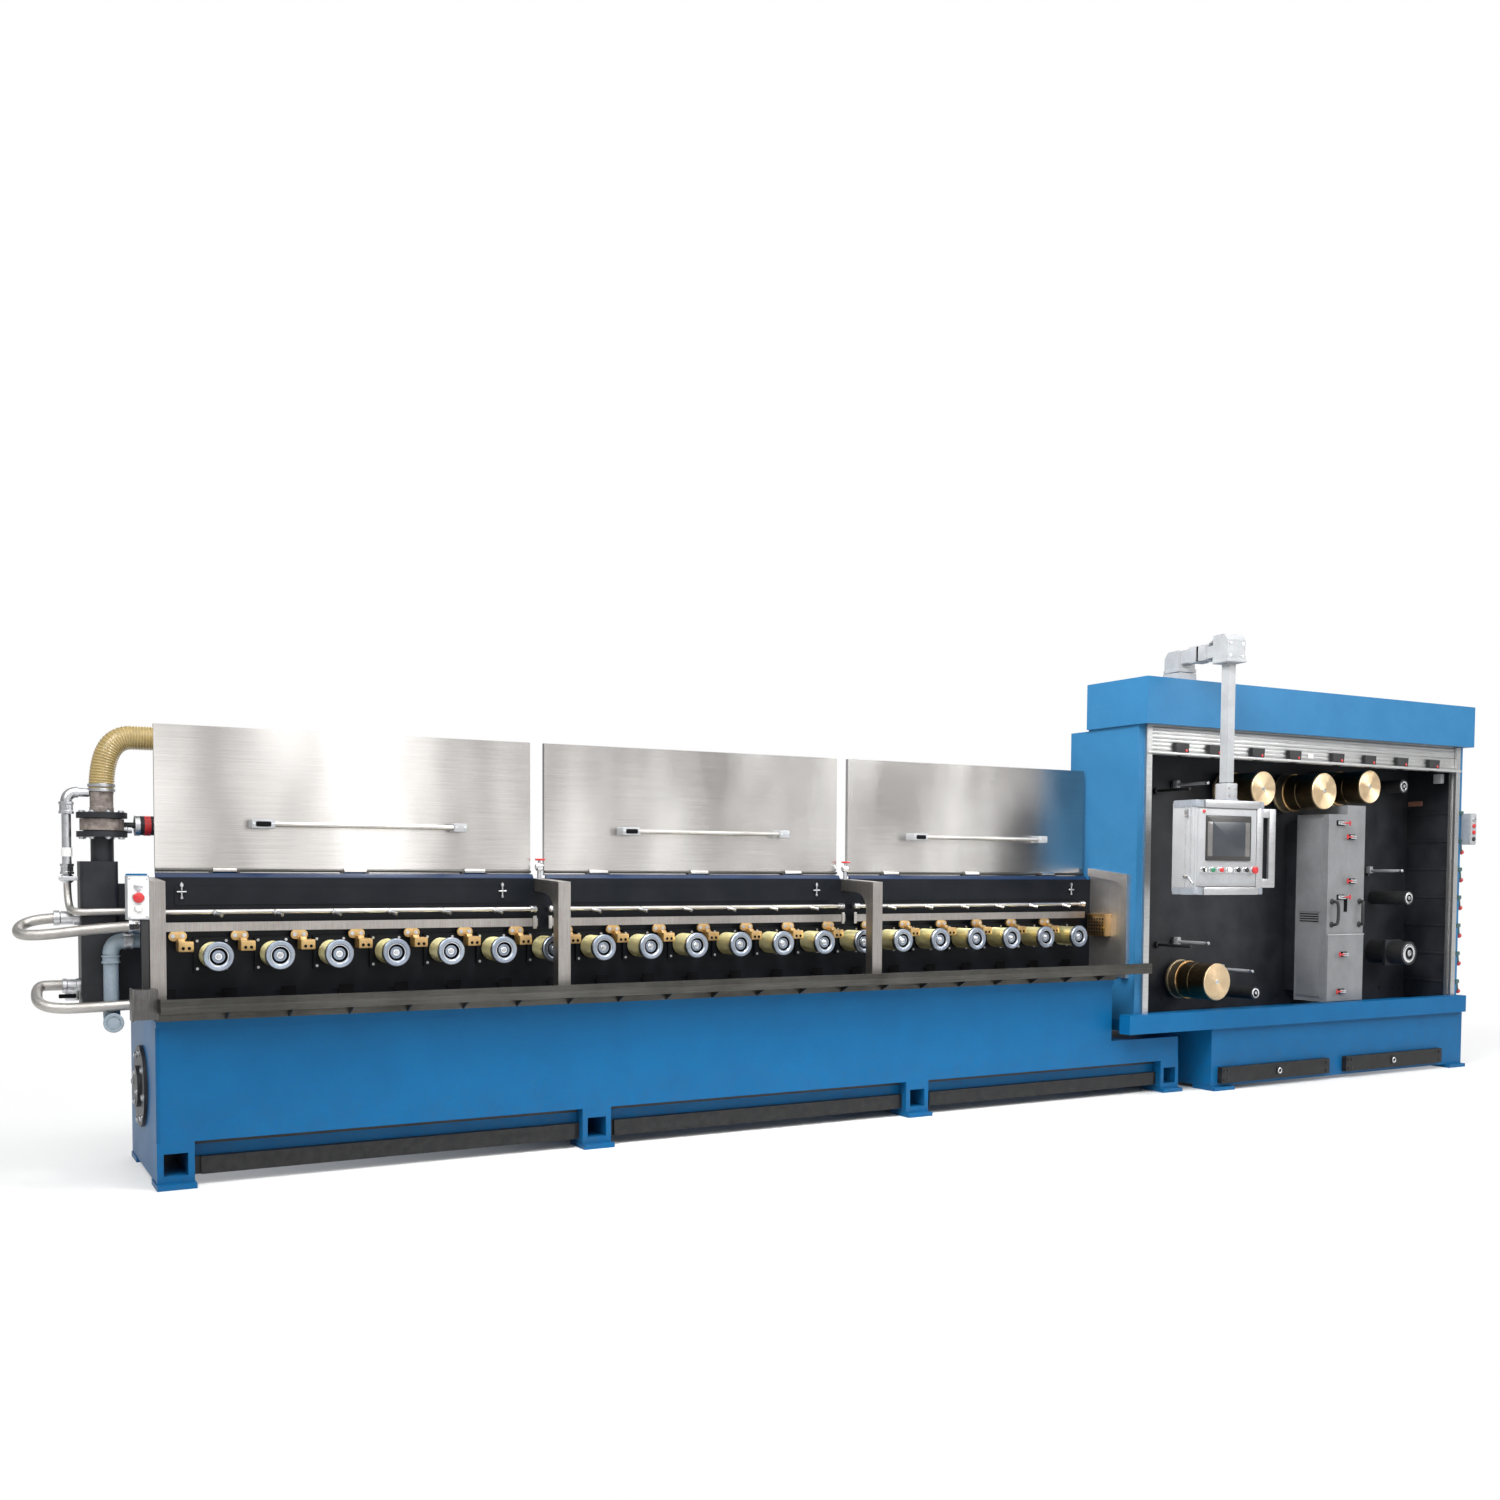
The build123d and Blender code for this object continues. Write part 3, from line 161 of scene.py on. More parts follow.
ramp.color_ramp.elements[1].color = (0.86, 0.87, 0.88, 1)
lift = wn.new("ShaderNodeMath")
lift.operation = "MULTIPLY_ADD"
lift.inputs[1].default_value = 0.5
lift.inputs[2].default_value = 0.5
backdrop.inputs["Color"].default_value = (1, 1, 1, 1)
room.inputs["Strength"].default_value = 0.6
wl.new(place.outputs["Generated"], split.inputs[0])
wl.new(split.outputs["Z"], lift.inputs[0])
wl.new(lift.outputs[0], ramp.inputs["Fac"])
wl.new(ramp.outputs["Color"], room.inputs["Color"])
wl.new(path.outputs["Is Camera Ray"], which.inputs["Fac"])
wl.new(room.outputs[0], which.inputs[1])
wl.new(backdrop.outputs[0], which.inputs[2])
wl.new(which.outputs[0], world_out.inputs["Surface"])
bpy.context.scene.view_settings.view_transform = "Standard"

# %% [markdown]
# Three effects show up on many finishes, so each is a node group that is built once. Blotches vary a
# colour and its gloss in large and small patches. Brushing draws long fine scratches along one
# direction. Settled dirt gathers on the lower parts.

# %% Shared finish groups


def new_group(name, inputs, outputs):
    """An empty shader group with named sockets, and its input and output nodes."""
    group = bpy.data.node_groups.new(name, "ShaderNodeTree")
    for label, kind, value in inputs:
        socket = group.interface.new_socket(label, in_out="INPUT", socket_type=kind)
        socket.default_value = value
    for label, kind in outputs:
        group.interface.new_socket(label, in_out="OUTPUT", socket_type=kind)
    return group, group.nodes.new("NodeGroupInput"), group.nodes.new("NodeGroupOutput")


def noise_node(tree, vector, scale, detail=4.0, roughness=0.6):
    """A noise texture on the given coordinates."""
    node = tree.nodes.new("ShaderNodeTexNoise")
    node.inputs["Detail"].default_value = detail
    node.inputs["Roughness"].default_value = roughness
    tree.links.new(vector, node.inputs["Vector"])
    if isinstance(scale, (int, float)):
        node.inputs["Scale"].default_value = scale
    else:
        tree.links.new(scale, node.inputs["Scale"])
    return node


def sharpen(tree, value, low, high):
    """Stretches a value so that low becomes 0 and high becomes 1."""
    node = tree.nodes.new("ShaderNodeMapRange")
    node.inputs["From Min"].default_value = low
    node.inputs["From Max"].default_value = high
    tree.links.new(value, node.inputs["Value"])
    return node.outputs["Result"]


def mix_colour(tree, factor, a, b, mode="MIX"):
    """Mixes two colours; each may be a socket or a plain colour."""
    node = tree.nodes.new("ShaderNodeMix")
    node.data_type = "RGBA"
    node.blend_type = mode
    for key, value in (("Factor", factor), ("A", a), ("B", b)):
        socket = [s for s in node.inputs if s.name == key and s.enabled][0]
        if hasattr(value, "links"):
            tree.links.new(value, socket)
        else:
            socket.default_value = value
    return [s for s in node.outputs if s.enabled][0]


FLOAT, COLOUR, VECTOR = "NodeSocketFloat", "NodeSocketColor", "NodeSocketVector"

blotches, g_in, g_out = new_group(
    "blotches", [("Clean", COLOUR, (0.5, 0.5, 0.5, 1)), ("Stained", COLOUR, (0.4, 0.4, 0.4, 1)),
                 ("Scale", FLOAT, 6.0), ("Gloss low", FLOAT, 0.3), ("Gloss high", FLOAT, 0.5)],
    [("Colour", COLOUR), ("Roughness", FLOAT)])
coords = blotches.nodes.new("ShaderNodeTexCoord").outputs["Object"]
wide = noise_node(blotches, coords, g_in.outputs["Scale"], 5.0)
fine = noise_node(blotches, coords, 90.0, 3.0)
patch = sharpen(blotches, wide.outputs["Fac"], 0.38, 0.68)
tint = mix_colour(blotches, patch, g_in.outputs["Clean"], g_in.outputs["Stained"])
blotches.links.new(mix_colour(blotches, 0.12, tint, fine.outputs["Color"], "OVERLAY"), g_out.inputs["Colour"])
gloss = blotches.nodes.new("ShaderNodeMix")
blotches.links.new(wide.outputs["Fac"], gloss.inputs["Factor"])
blotches.links.new(g_in.outputs["Gloss low"], gloss.inputs["A"])
blotches.links.new(g_in.outputs["Gloss high"], gloss.inputs["B"])
blotches.links.new(gloss.outputs["Result"], g_out.inputs["Roughness"])

brushing, g_in, g_out = new_group("brushing", [("Stretch", VECTOR, (1.0, 160.0, 160.0)), ("Scale", FLOAT, 3.0)],
                                  [("Streak", FLOAT), ("Height", FLOAT)])
coords = brushing.nodes.new("ShaderNodeTexCoord").outputs["Object"]
stretch = brushing.nodes.new("ShaderNodeVectorMath")
stretch.operation = "MULTIPLY"
brushing.links.new(coords, stretch.inputs[0])
brushing.links.new(g_in.outputs["Stretch"], stretch.inputs[1])
lines = noise_node(brushing, stretch.outputs[0], g_in.outputs["Scale"], 6.0, 0.7)
brushing.links.new(lines.outputs["Fac"], g_out.inputs["Height"])
brushing.links.new(sharpen(brushing, lines.outputs["Fac"], 0.3, 0.7), g_out.inputs["Streak"])

settled_dirt, g_in, g_out = new_group("settled_dirt", [("Reach", FLOAT, 0.25), ("Amount", FLOAT, 0.6)],
                                      [("Mask", FLOAT)])
coords = settled_dirt.nodes.new("ShaderNodeTexCoord").outputs["Object"]
height = settled_dirt.nodes.new("ShaderNodeSeparateXYZ")
settled_dirt.links.new(coords, height.inputs[0])
low = settled_dirt.nodes.new("ShaderNodeMapRange")
low.inputs["From Min"].default_value = 0.0
low.inputs["To Min"].default_value = 1.0
low.inputs["To Max"].default_value = 0.0
settled_dirt.links.new(height.outputs["Z"], low.inputs["Value"])
settled_dirt.links.new(g_in.outputs["Reach"], low.inputs["From Max"])
crumbs = sharpen(settled_dirt, noise_node(settled_dirt, coords, 22.0, 6.0, 0.7).outputs["Fac"], 0.42, 0.66)
dirty = settled_dirt.nodes.new("ShaderNodeMath")
dirty.operation = "MULTIPLY"
settled_dirt.links.new(low.outputs["Result"], dirty.inputs[0])
settled_dirt.links.new(crumbs, dirty.inputs[1])
scaled = settled_dirt.nodes.new("ShaderNodeMath")
scaled.operation = "MULTIPLY"
settled_dirt.links.new(dirty.outputs[0], scaled.inputs[0])
settled_dirt.links.new(g_in.outputs["Amount"], scaled.inputs[1])
settled_dirt.links.new(scaled.outputs[0], g_out.inputs["Mask"])
print("finish groups:", [g.name for g in bpy.data.node_groups])

# %% [markdown]
# A finish is a Principled shader fed by those groups. Numbers that are the same all over a surface stay
# on the shader itself. Enamel gets blotches and dirt near the floor; bare metal gets streaks that tint it
# and a faint bump. A large sheet gets wide soft upright clouds between a bright and a dark tone: a painted sheen.

# %% Finish helpers


def finish(name, metallic=0.0, roughness=0.5, coat=0.0, shine=0.5):
    """A new material with its Principled shader."""
    material = bpy.data.materials.new(name)
    material.use_nodes = True
    shader = material.node_tree.nodes["Principled BSDF"]
    shader.inputs["Specular IOR Level"].default_value = shine
    shader.inputs["Metallic"].default_value = metallic
    shader.inputs["Roughness"].default_value = roughness
    shader.inputs["Coat Weight"].default_value = coat
    return material, material.node_tree, shader


def use_group(tree, group, **values):
    """Places a finish group in a material, with its own values."""
    node = tree.nodes.new("ShaderNodeGroup")
    node.node_tree = group
    for key, value in values.items():
        node.inputs[key.replace("_", " ")].default_value = value
    return node


def bump(tree, shader, height, strength, distance):
    """Feeds a height into the shader's normal."""
    node = tree.nodes.new("ShaderNodeBump")
    node.inputs["Strength"].default_value = strength
    node.inputs["Distance"].default_value = distance
    tree.links.new(height, node.inputs["Height"])
    tree.links.new(node.outputs["Normal"], shader.inputs["Normal"])


def enamel(name, clean, stained, gloss=(0.3, 0.45), dirt=0.0, dirt_colour=(0.05, 0.045, 0.04, 1), scale=5.0,
           coat=0.0, shine=0.4):
    """Machine paint: blotched colour, orange-peel bump and dirt near the floor."""
    material, tree, shader = finish(name, 0.0, 0.4, coat, shine)
    paint = use_group(tree, blotches, Clean=clean, Stained=stained, Scale=scale, Gloss_low=gloss[0], Gloss_high=gloss[1])
    colour = paint.outputs["Colour"]
    if dirt:
        mask = use_group(tree, settled_dirt, Amount=dirt, Reach=0.4)
        colour = mix_colour(tree, mask.outputs["Mask"], colour, dirt_colour)
    tree.links.new(colour, shader.inputs["Base Color"])
    tree.links.new(paint.outputs["Roughness"], shader.inputs["Roughness"])
    peel = noise_node(tree, tree.nodes.new("ShaderNodeTexCoord").outputs["Object"], 260.0, 2.0)
    bump(tree, shader, peel.outputs["Fac"], 0.06, 0.002)
    return material


def steel(name, bright, dark, stretch, gloss=(0.24, 0.44), grain=0.08, sheet=False):
    """Bare metal: streaks along one direction over smudges, or over wide soft clouds of painted sheen for a sheet."""
    material, tree, shader = finish(name, 1.0, 0.3)
    streaks = use_group(tree, brushing, Stretch=stretch)
    smudges = use_group(tree, blotches, Clean=bright, Stained=dark, Scale=3.2, Gloss_low=gloss[0], Gloss_high=gloss[1])
    tone = smudges.outputs["Colour"]
    # A sheet's tone comes from upright clouds between dark and bright: painted sheen.
    if sheet:
        upright = tree.nodes.new("ShaderNodeMapping")
        upright.inputs["Scale"].default_value = (1.0, 0.0, 0.45)
        tree.links.new(tree.nodes.new("ShaderNodeTexCoord").outputs["Object"], upright.inputs["Vector"])
        clouds = noise_node(tree, upright.outputs["Vector"], 2.0, 2.0, 0.45)
        tone = mix_colour(tree, sharpen(tree, clouds.outputs["Fac"], 0.36, 0.64), dark, bright)
    tone = mix_colour(tree, 0.3, tone, streaks.outputs["Streak"], "SOFT_LIGHT")
    tree.links.new(tone, shader.inputs["Base Color"])
    tree.links.new(smudges.outputs["Roughness"], shader.inputs["Roughness"])
    bump(tree, shader, streaks.outputs["Height"], grain, 0.004)
    return material


def flat_finish(name, colour, roughness=0.4, metallic=0.0, coat=0.0, spread=0.8):
    """A small part's finish: its colour in faint patches."""
    darker = tuple(c * spread for c in colour[:3]) + (1,)
    material, tree, shader = finish(name, metallic, roughness, coat)
    paint = use_group(tree, blotches, Clean=colour, Stained=darker, Scale=24.0, Gloss_low=roughness * 0.8,
                      Gloss_high=roughness * 1.2)
    tree.links.new(paint.outputs["Colour"], shader.inputs["Base Color"])
    tree.links.new(paint.outputs["Roughness"], shader.inputs["Roughness"])
    return material


# %% Finishes of the machine
BLUE = enamel("blue_enamel", (0.002, 0.094, 0.238, 1), (0.002, 0.084, 0.216, 1), (0.34, 0.46), dirt=0.22,
              shine=0.16)
# The cabinet gets a lighter copy of the base's blue: painted light for the brighter light on the cabinet.
LIT_CABINET_BLUE = enamel("cabinet_blue", (0.024, 0.138, 0.286, 1), (0.020, 0.124, 0.262, 1), (0.34, 0.46), shine=0.2)
BLACK = enamel("black_enamel", (0.011, 0.012, 0.015, 1), (0.021, 0.022, 0.026, 1), (0.32, 0.55), dirt=0.3,
               dirt_colour=(0.10, 0.09, 0.08, 1), scale=7.0, shine=0.3)
WALL_BLACK = enamel("wall_black", (0.005, 0.0065, 0.009, 1), (0.009, 0.010, 0.013, 1), (0.26, 0.42), scale=5.0, shine=0.15)
SCUFFED_BLACK = enamel("scuffed_black", (0.005, 0.005, 0.006, 1), (0.013, 0.013, 0.013, 1), (0.3, 0.6), dirt=0.2,
                       dirt_colour=(0.05, 0.048, 0.046, 1), scale=34.0, shine=0.3)
GREY = enamel("light_grey_coat", (0.33, 0.34, 0.352, 1), (0.275, 0.283, 0.292, 1), (0.38, 0.5), scale=9.0)
COLUMN_GREY = enamel("column_grey", (0.192, 0.197, 0.204, 1), (0.154, 0.158, 0.164, 1), (0.4, 0.55), scale=6.0, shine=0.25)
# The lids' bright and dark tones are the two ends of their painted sheen.
LID_STEEL = steel("lid_steel", (0.83, 0.803, 0.774, 1), (0.42, 0.401, 0.384, 1), (1.0, 150.0, 150.0), (0.20, 0.30), 0.05, True)
STAINLESS = steel("stainless_bar", (0.54, 0.52, 0.495, 1), (0.36, 0.345, 0.325, 1), (2.0, 120.0, 120.0), (0.28, 0.46))
GUTTER_STEEL = steel("gutter_sheet", (0.095, 0.093, 0.085, 1), (0.055, 0.054, 0.049, 1), (2.0, 120.0, 120.0), (0.3, 0.48))
POST_STEEL = steel("post_steel", (0.40, 0.375, 0.355, 1), (0.29, 0.27, 0.255, 1), (90.0, 90.0, 2.0), (0.3, 0.48))
END_STEEL = steel("end_plate_steel", (0.68, 0.655, 0.645, 1), (0.50, 0.48, 0.47, 1), (90.0, 90.0, 2.0), (0.34, 0.5))
BRASS = steel("turned_brass", (0.78, 0.52, 0.25, 1), (0.60, 0.38, 0.17, 1), (70.0, 70.0, 70.0), (0.2, 0.36))
DULL_BRASS = steel("dull_brass", (0.62, 0.42, 0.19, 1), (0.34, 0.22, 0.10, 1), (60.0, 60.0, 60.0), (0.34, 0.55))
CHROME = flat_finish("bright_chrome", (0.78, 0.79, 0.80, 1), 0.16, 1.0)
ZINC = flat_finish("zinc_plate", (0.62, 0.63, 0.65, 1), 0.32, 1.0, spread=0.7)
ALUMINIUM = steel("drawn_aluminium", (0.60, 0.60, 0.595, 1), (0.50, 0.50, 0.495, 1), (2.0, 90.0, 90.0), (0.32, 0.44))
RED = flat_finish("signal_red", (0.48, 0.018, 0.02, 1), 0.3, 0.0, 0.3)
GREEN = flat_finish("button_green", (0.01, 0.20, 0.09, 1), 0.3, 0.0, 0.3)
WHITE = flat_finish("button_white", (0.78, 0.78, 0.76, 1), 0.35)
RUBBER = flat_finish("black_rubber", (0.012, 0.012, 0.013, 1), 0.6)
WARM_GREY = flat_finish("corner_grey", (0.23, 0.25, 0.28, 1), 0.45)
print("finishes:", len(bpy.data.materials))

# %% [markdown]
# Most small parts of a machine are cut from plate, turned on a lathe or bent from pipe. A small builder
# collects such parts into one mesh, so that a piece is described as a workshop would describe it. It
# could all be done with separate objects and modifiers, but one mesh per piece keeps the scene tidy.

# %% Form builder


class Form:
    """A mesh put together from blocks, plates, turned parts and pipes, in drawing millimetres."""

    def __init__(self):
        self.mesh = bmesh.new()
        self.finishes = []

    def take(self, part, paint):
        """Joins a closed part in one finish, with its faces turned outwards."""
        if paint not in self.finishes:
            self.finishes.append(paint)
        bmesh.ops.recalc_face_normals(part, faces=part.faces[:])
        for face in part.faces:
            face.material_index = self.finishes.index(paint)
        scratch = bpy.data.meshes.new("scratch")
        part.to_mesh(scratch)
        part.free()
        self.mesh.from_mesh(scratch)
        bpy.data.meshes.remove(scratch)

    def block(self, paint, x, y, z, soft=2.0):
        """A block between two values on each axis, with its edges eased."""
        low, high = spot(x[0], y[0], z[0]), spot(x[1], y[1], z[1])
        part = bmesh.new()
        shape = Matrix.Translation((low + high) / 2) @ Matrix.Diagonal((*(high - low), 1.0))
        bmesh.ops.create_cube(part, size=1.0, matrix=shape)
        bmesh.ops.bevel(part, geom=part.edges[:], offset=soft * MM, segments=2, profile=0.6, affect="EDGES")
        self.take(part, paint)

    def plate(self, paint, square_to, outline, low, high, soft=0.0):
        """An outline drawn square to one axis, made thick from low to high along it."""
        put = {"x": lambda a, b, t: spot(t, a, b), "y": lambda a, b, t: spot(a, t, b), "z": spot}[square_to]
        part = bmesh.new()
        near, far = ([part.verts.new(put(a, b, t)) for a, b in outline] for t in (low, high))
        rims = [part.faces.new(near), part.faces.new(far)]
        for k in range(len(outline)):
            part.faces.new((near[k - 1], near[k], far[k], far[k - 1]))
        if soft:
            edges = [edge for face in rims for edge in face.edges]
            bmesh.ops.bevel(part, geom=edges, offset=soft * MM, segments=2, profile=0.6, affect="EDGES")
        self.take(part, paint)

    def turned(self, paint, place, axis, profile, sides=32, looped=False):
        """Turns (along, radius) steps round an axis through a place; looped joins the last to the first."""
        along = Vector(axis).normalized()
        across = along.orthogonal().normalized()
        beside = along.cross(across)
        part = bmesh.new()
        rings = []
        for step, radius in profile:
            middle = spot(*place) + along * step * MM
            corners = sides if radius else 1
            turns = [2 * math.pi * k / sides for k in range(corners)]
            rings.append([part.verts.new(middle + (across * math.cos(t) + beside * math.sin(t)) * radius * MM)
                          for t in turns])
        pairs = list(zip(rings, rings[1:])) + ([(rings[-1], rings[0])] if looped else [])
        for a, b in pairs:
            for k in range(sides):
                loop = [a[k % len(a)], a[(k + 1) % len(a)], b[(k + 1) % len(b)], b[k % len(b)]]
                loop = list(dict.fromkeys(loop))
                if len(loop) > 2:
                    part.faces.new(loop)
        if not looped:
            for ring in (rings[0], rings[-1]):
                if len(ring) > 1:
                    part.faces.new(ring)
        self.take(part, paint)

    def rod(self, paint, start, end, radius, sides=16):
        """A straight round bar with eased ends."""
        run = spot(*end) - spot(*start)
        length = run.length / MM
        ease = min(radius * 0.25, length * 0.2)
        self.turned(paint, start, run, [(0, radius - ease), (ease, radius), (length - ease, radius),
                                        (length, radius - ease)], sides)

    def pipe(self, paint, line, radius, sides=16):
        """A round pipe along the points of a line, closed at both ends."""
        part = bmesh.new()
        rings, across = [], None
        for k, point in enumerate(line):
            ahead = (line[min(k + 1, len(line) - 1)] - line[max(k - 1, 0)]).normalized()
            across = ahead.orthogonal() if across is None else across
            across = (across - ahead * across.dot(ahead)).normalized()
            beside = ahead.cross(across)
            turns = [2 * math.pi * j / sides for j in range(sides)]
            rings.append([part.verts.new(point + (across * math.cos(t) + beside * math.sin(t)) * radius * MM)
                          for t in turns])
        for a, b in zip(rings, rings[1:]):
            for j in range(sides):
                part.faces.new((a[j - 1], a[j], b[j], b[j - 1]))
        part.faces.new(rings[0])
        part.faces.new(rings[-1])
        self.take(part, paint)

    def to_mesh(self, name):
        """The finished mesh, with its finishes in order."""
        mesh = bpy.data.meshes.new(name)
        self.mesh.to_mesh(mesh)
        self.mesh.free()
        for paint in self.finishes:
            mesh.materials.append(paint)
        return mesh


def keep(name, mesh, body="machine_frame", replaces=()):
    """Makes a finished mesh a piece of the machine that rides on a body."""
    mesh.name = name
    mesh.polygons.foreach_set("use_smooth", [True] * len(mesh.polygons))
    mesh.set_sharp_from_angle(angle=math.radians(32))
    piece = bpy.data.objects.new(name, mesh)
    bpy.context.collection.objects.link(piece)
    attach(piece, body)
    if replaces:
        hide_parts(*replaces)
    return piece


def rounded(a, b, radius, steps=5):
    """The outline of a rectangle with round corners."""
    outline = []
    for ca, cb, start in ((a[1] - radius, b[1] - radius, 0), (a[0] + radius, b[1] - radius, 90),
                          (a[0] + radius, b[0] + radius, 180), (a[1] - radius, b[0] + radius, 270)):
        for k in range(steps + 1):
            turn = math.radians(start + 90 * k / steps)
            outline.append((ca + radius * math.cos(turn), cb + radius * math.sin(turn)))
    return outline


def flowing_line(points):
    """The points of a smooth spline that has the given drawing places as its control points."""
    curve = bpy.data.curves.new("line", "CURVE")
    curve.dimensions = "3D"
    spline = curve.splines.new("NURBS")
    spline.points.add(len(points) - 1)
    for knot, place in zip(spline.points, points):
        knot.co = (*spot(*place), 1.0)
    spline.order_u = 3
    spline.use_endpoint_u = True
    spline.resolution_u = 14
    holder = bpy.data.objects.new("line", curve)
    bpy.context.collection.objects.link(holder)
    drawn = bpy.data.meshes.new_from_object(holder)
    line = [vertex.co.copy() for vertex in drawn.vertices]
    bpy.data.objects.remove(holder)
    bpy.data.curves.remove(curve)
    bpy.data.meshes.remove(drawn)
    return line


print("form builder ready")

# %% [markdown]
# Bolt heads, rows of equal holders and the ribs of a hose all repeat, so Geometry Nodes place them. Three
# trees are enough: bolt heads on given points, a row of copies at a fixed step, and ribs along a path.
# Each tree ends in real mesh with its finish set, because only plain meshes leave this scene.

# %% Trees for what repeats
MATERIAL, COUNT = "NodeSocketMaterial", "NodeSocketInt"


def grow_tree(name, inputs):
    """An empty geometry tree with a geometry input, named inputs and a geometry output."""
    tree = bpy.data.node_groups.new(name, "GeometryNodeTree")
    tree.is_modifier = True
    tree.interface.new_socket("Geometry", in_out="INPUT", socket_type="NodeSocketGeometry")
    for label, kind, value in inputs:
        socket = tree.interface.new_socket(label, in_out="INPUT", socket_type=kind)
        if value is not None:
            socket.default_value = value
    tree.interface.new_socket("Geometry", in_out="OUTPUT", socket_type="NodeSocketGeometry")
    return tree, tree.nodes.new("NodeGroupInput"), tree.nodes.new("NodeGroupOutput")


def close_tree(tree, geometry, g_in, g_out):
    """Makes the instances real, sets their finish and puts them out."""
    real = tree.nodes.new("GeometryNodeRealizeInstances")
    paint = tree.nodes.new("GeometryNodeSetMaterial")
    tree.links.new(geometry, real.inputs["Geometry"])
    tree.links.new(real.outputs["Geometry"], paint.inputs["Geometry"])
    tree.links.new(g_in.outputs["Finish"], paint.inputs["Material"])
    tree.links.new(paint.outputs["Geometry"], g_out.inputs["Geometry"])


def times(tree, value, factor):
    """A value multiplied by a fixed factor."""
    node = tree.nodes.new("ShaderNodeMath")
    node.operation = "MULTIPLY"
    node.inputs[1].default_value = factor
    tree.links.new(value, node.inputs[0])
    return node.outputs[0]


bolt_heads, g_in, g_out = grow_tree("bolt_heads", [
    ("Head radius", FLOAT, 0.008), ("Head height", FLOAT, 0.006), ("Washer radius", FLOAT, 0.012),
    ("Facing", VECTOR, (0.0, -1.0, 0.0)), ("Finish", MATERIAL, None)])
head = bolt_heads.nodes.new("GeometryNodeMeshCylinder")
head.inputs["Vertices"].default_value = 6
washer = bolt_heads.nodes.new("GeometryNodeMeshCylinder")
washer.inputs["Vertices"].default_value = 14
together = bolt_heads.nodes.new("GeometryNodeJoinGeometry")
turn_to = bolt_heads.nodes.new("FunctionNodeAlignRotationToVector")
turn_to.axis = "Z"
stand = bolt_heads.nodes.new("GeometryNodeInstanceOnPoints")
link = bolt_heads.links.new
link(g_in.outputs["Head radius"], head.inputs["Radius"])
link(times(bolt_heads, g_in.outputs["Head height"], 2.0), head.inputs["Depth"])
link(g_in.outputs["Washer radius"], washer.inputs["Radius"])
link(times(bolt_heads, g_in.outputs["Head height"], 0.7), washer.inputs["Depth"])
link(head.outputs["Mesh"], together.inputs[0])
link(washer.outputs["Mesh"], together.inputs[0])
link(g_in.outputs["Facing"], turn_to.inputs["Vector"])
link(g_in.outputs["Geometry"], stand.inputs["Points"])
link(together.outputs[0], stand.inputs["Instance"])
link(turn_to.outputs["Rotation"], stand.inputs["Rotation"])
close_tree(bolt_heads, stand.outputs["Instances"], g_in, g_out)

equal_row, g_in, g_out = grow_tree("equal_row", [("Count", COUNT, 2), ("Step", VECTOR, (0.1, 0.0, 0.0)),
                                                 ("Finish", MATERIAL, None)])
marks = equal_row.nodes.new("GeometryNodeMeshLine")
marks.mode = "OFFSET"
stand = equal_row.nodes.new("GeometryNodeInstanceOnPoints")
equal_row.links.new(g_in.outputs["Count"], marks.inputs["Count"])
equal_row.links.new(g_in.outputs["Step"], marks.inputs["Offset"])
equal_row.links.new(marks.outputs["Mesh"], stand.inputs["Points"])
equal_row.links.new(g_in.outputs["Geometry"], stand.inputs["Instance"])
close_tree(equal_row, stand.outputs["Instances"], g_in, g_out)

ribs_on_path, g_in, g_out = grow_tree("ribs_on_path", [("Pitch", FLOAT, 0.02), ("Ring radius", FLOAT, 0.04),
                                                       ("Rib radius", FLOAT, 0.004), ("Finish", MATERIAL, None)])
path_curve = ribs_on_path.nodes.new("GeometryNodeMeshToCurve")
spaced = ribs_on_path.nodes.new("GeometryNodeResampleCurve")
spaced.mode = "LENGTH"
ring = ribs_on_path.nodes.new("GeometryNodeCurvePrimitiveCircle")
ring.inputs["Resolution"].default_value = 28
section = ribs_on_path.nodes.new("GeometryNodeCurvePrimitiveCircle")
section.inputs["Resolution"].default_value = 6
rib = ribs_on_path.nodes.new("GeometryNodeCurveToMesh")
ahead = ribs_on_path.nodes.new("GeometryNodeInputTangent")
turn_to = ribs_on_path.nodes.new("FunctionNodeAlignRotationToVector")
turn_to.axis = "Z"
stand = ribs_on_path.nodes.new("GeometryNodeInstanceOnPoints")
link = ribs_on_path.links.new
link(g_in.outputs["Geometry"], path_curve.inputs["Mesh"])
link(path_curve.outputs["Curve"], spaced.inputs["Curve"])
link(g_in.outputs["Pitch"], spaced.inputs["Length"])
link(g_in.outputs["Ring radius"], ring.inputs["Radius"])
link(g_in.outputs["Rib radius"], section.inputs["Radius"])
link(ring.outputs["Curve"], rib.inputs["Curve"])
link(section.outputs["Curve"], rib.inputs["Profile Curve"])
link(ahead.outputs["Tangent"], turn_to.inputs["Vector"])
link(spaced.outputs["Curve"], stand.inputs["Points"])
link(rib.outputs["Mesh"], stand.inputs["Instance"])
link(turn_to.outputs["Rotation"], stand.inputs["Rotation"])
close_tree(ribs_on_path, stand.outputs["Instances"], g_in, g_out)


def grown(mesh, tree, **values):
    """Runs a tree on a mesh and gives the result back as a plain mesh."""
    source = bpy.data.objects.new("source", mesh)
    bpy.context.collection.objects.link(source)
    modifier = source.modifiers.new("grow", "NODES")
    modifier.node_group = tree
    for item in tree.interface.items_tree:
        if item.in_out == "INPUT" and item.name.replace(" ", "_") in values:
            modifier[item.identifier] = values[item.name.replace(" ", "_")]
    result = bpy.data.meshes.new_from_object(source.evaluated_get(bpy.context.evaluated_depsgraph_get()))
    bpy.data.objects.remove(source)
    bpy.data.meshes.remove(mesh)
    return result


def marks_at(places):
    """A mesh of loose points at drawing places."""
    mesh = bpy.data.meshes.new("marks")
    mesh.from_pydata([spot(*place) for place in places], [], [])
    return mesh


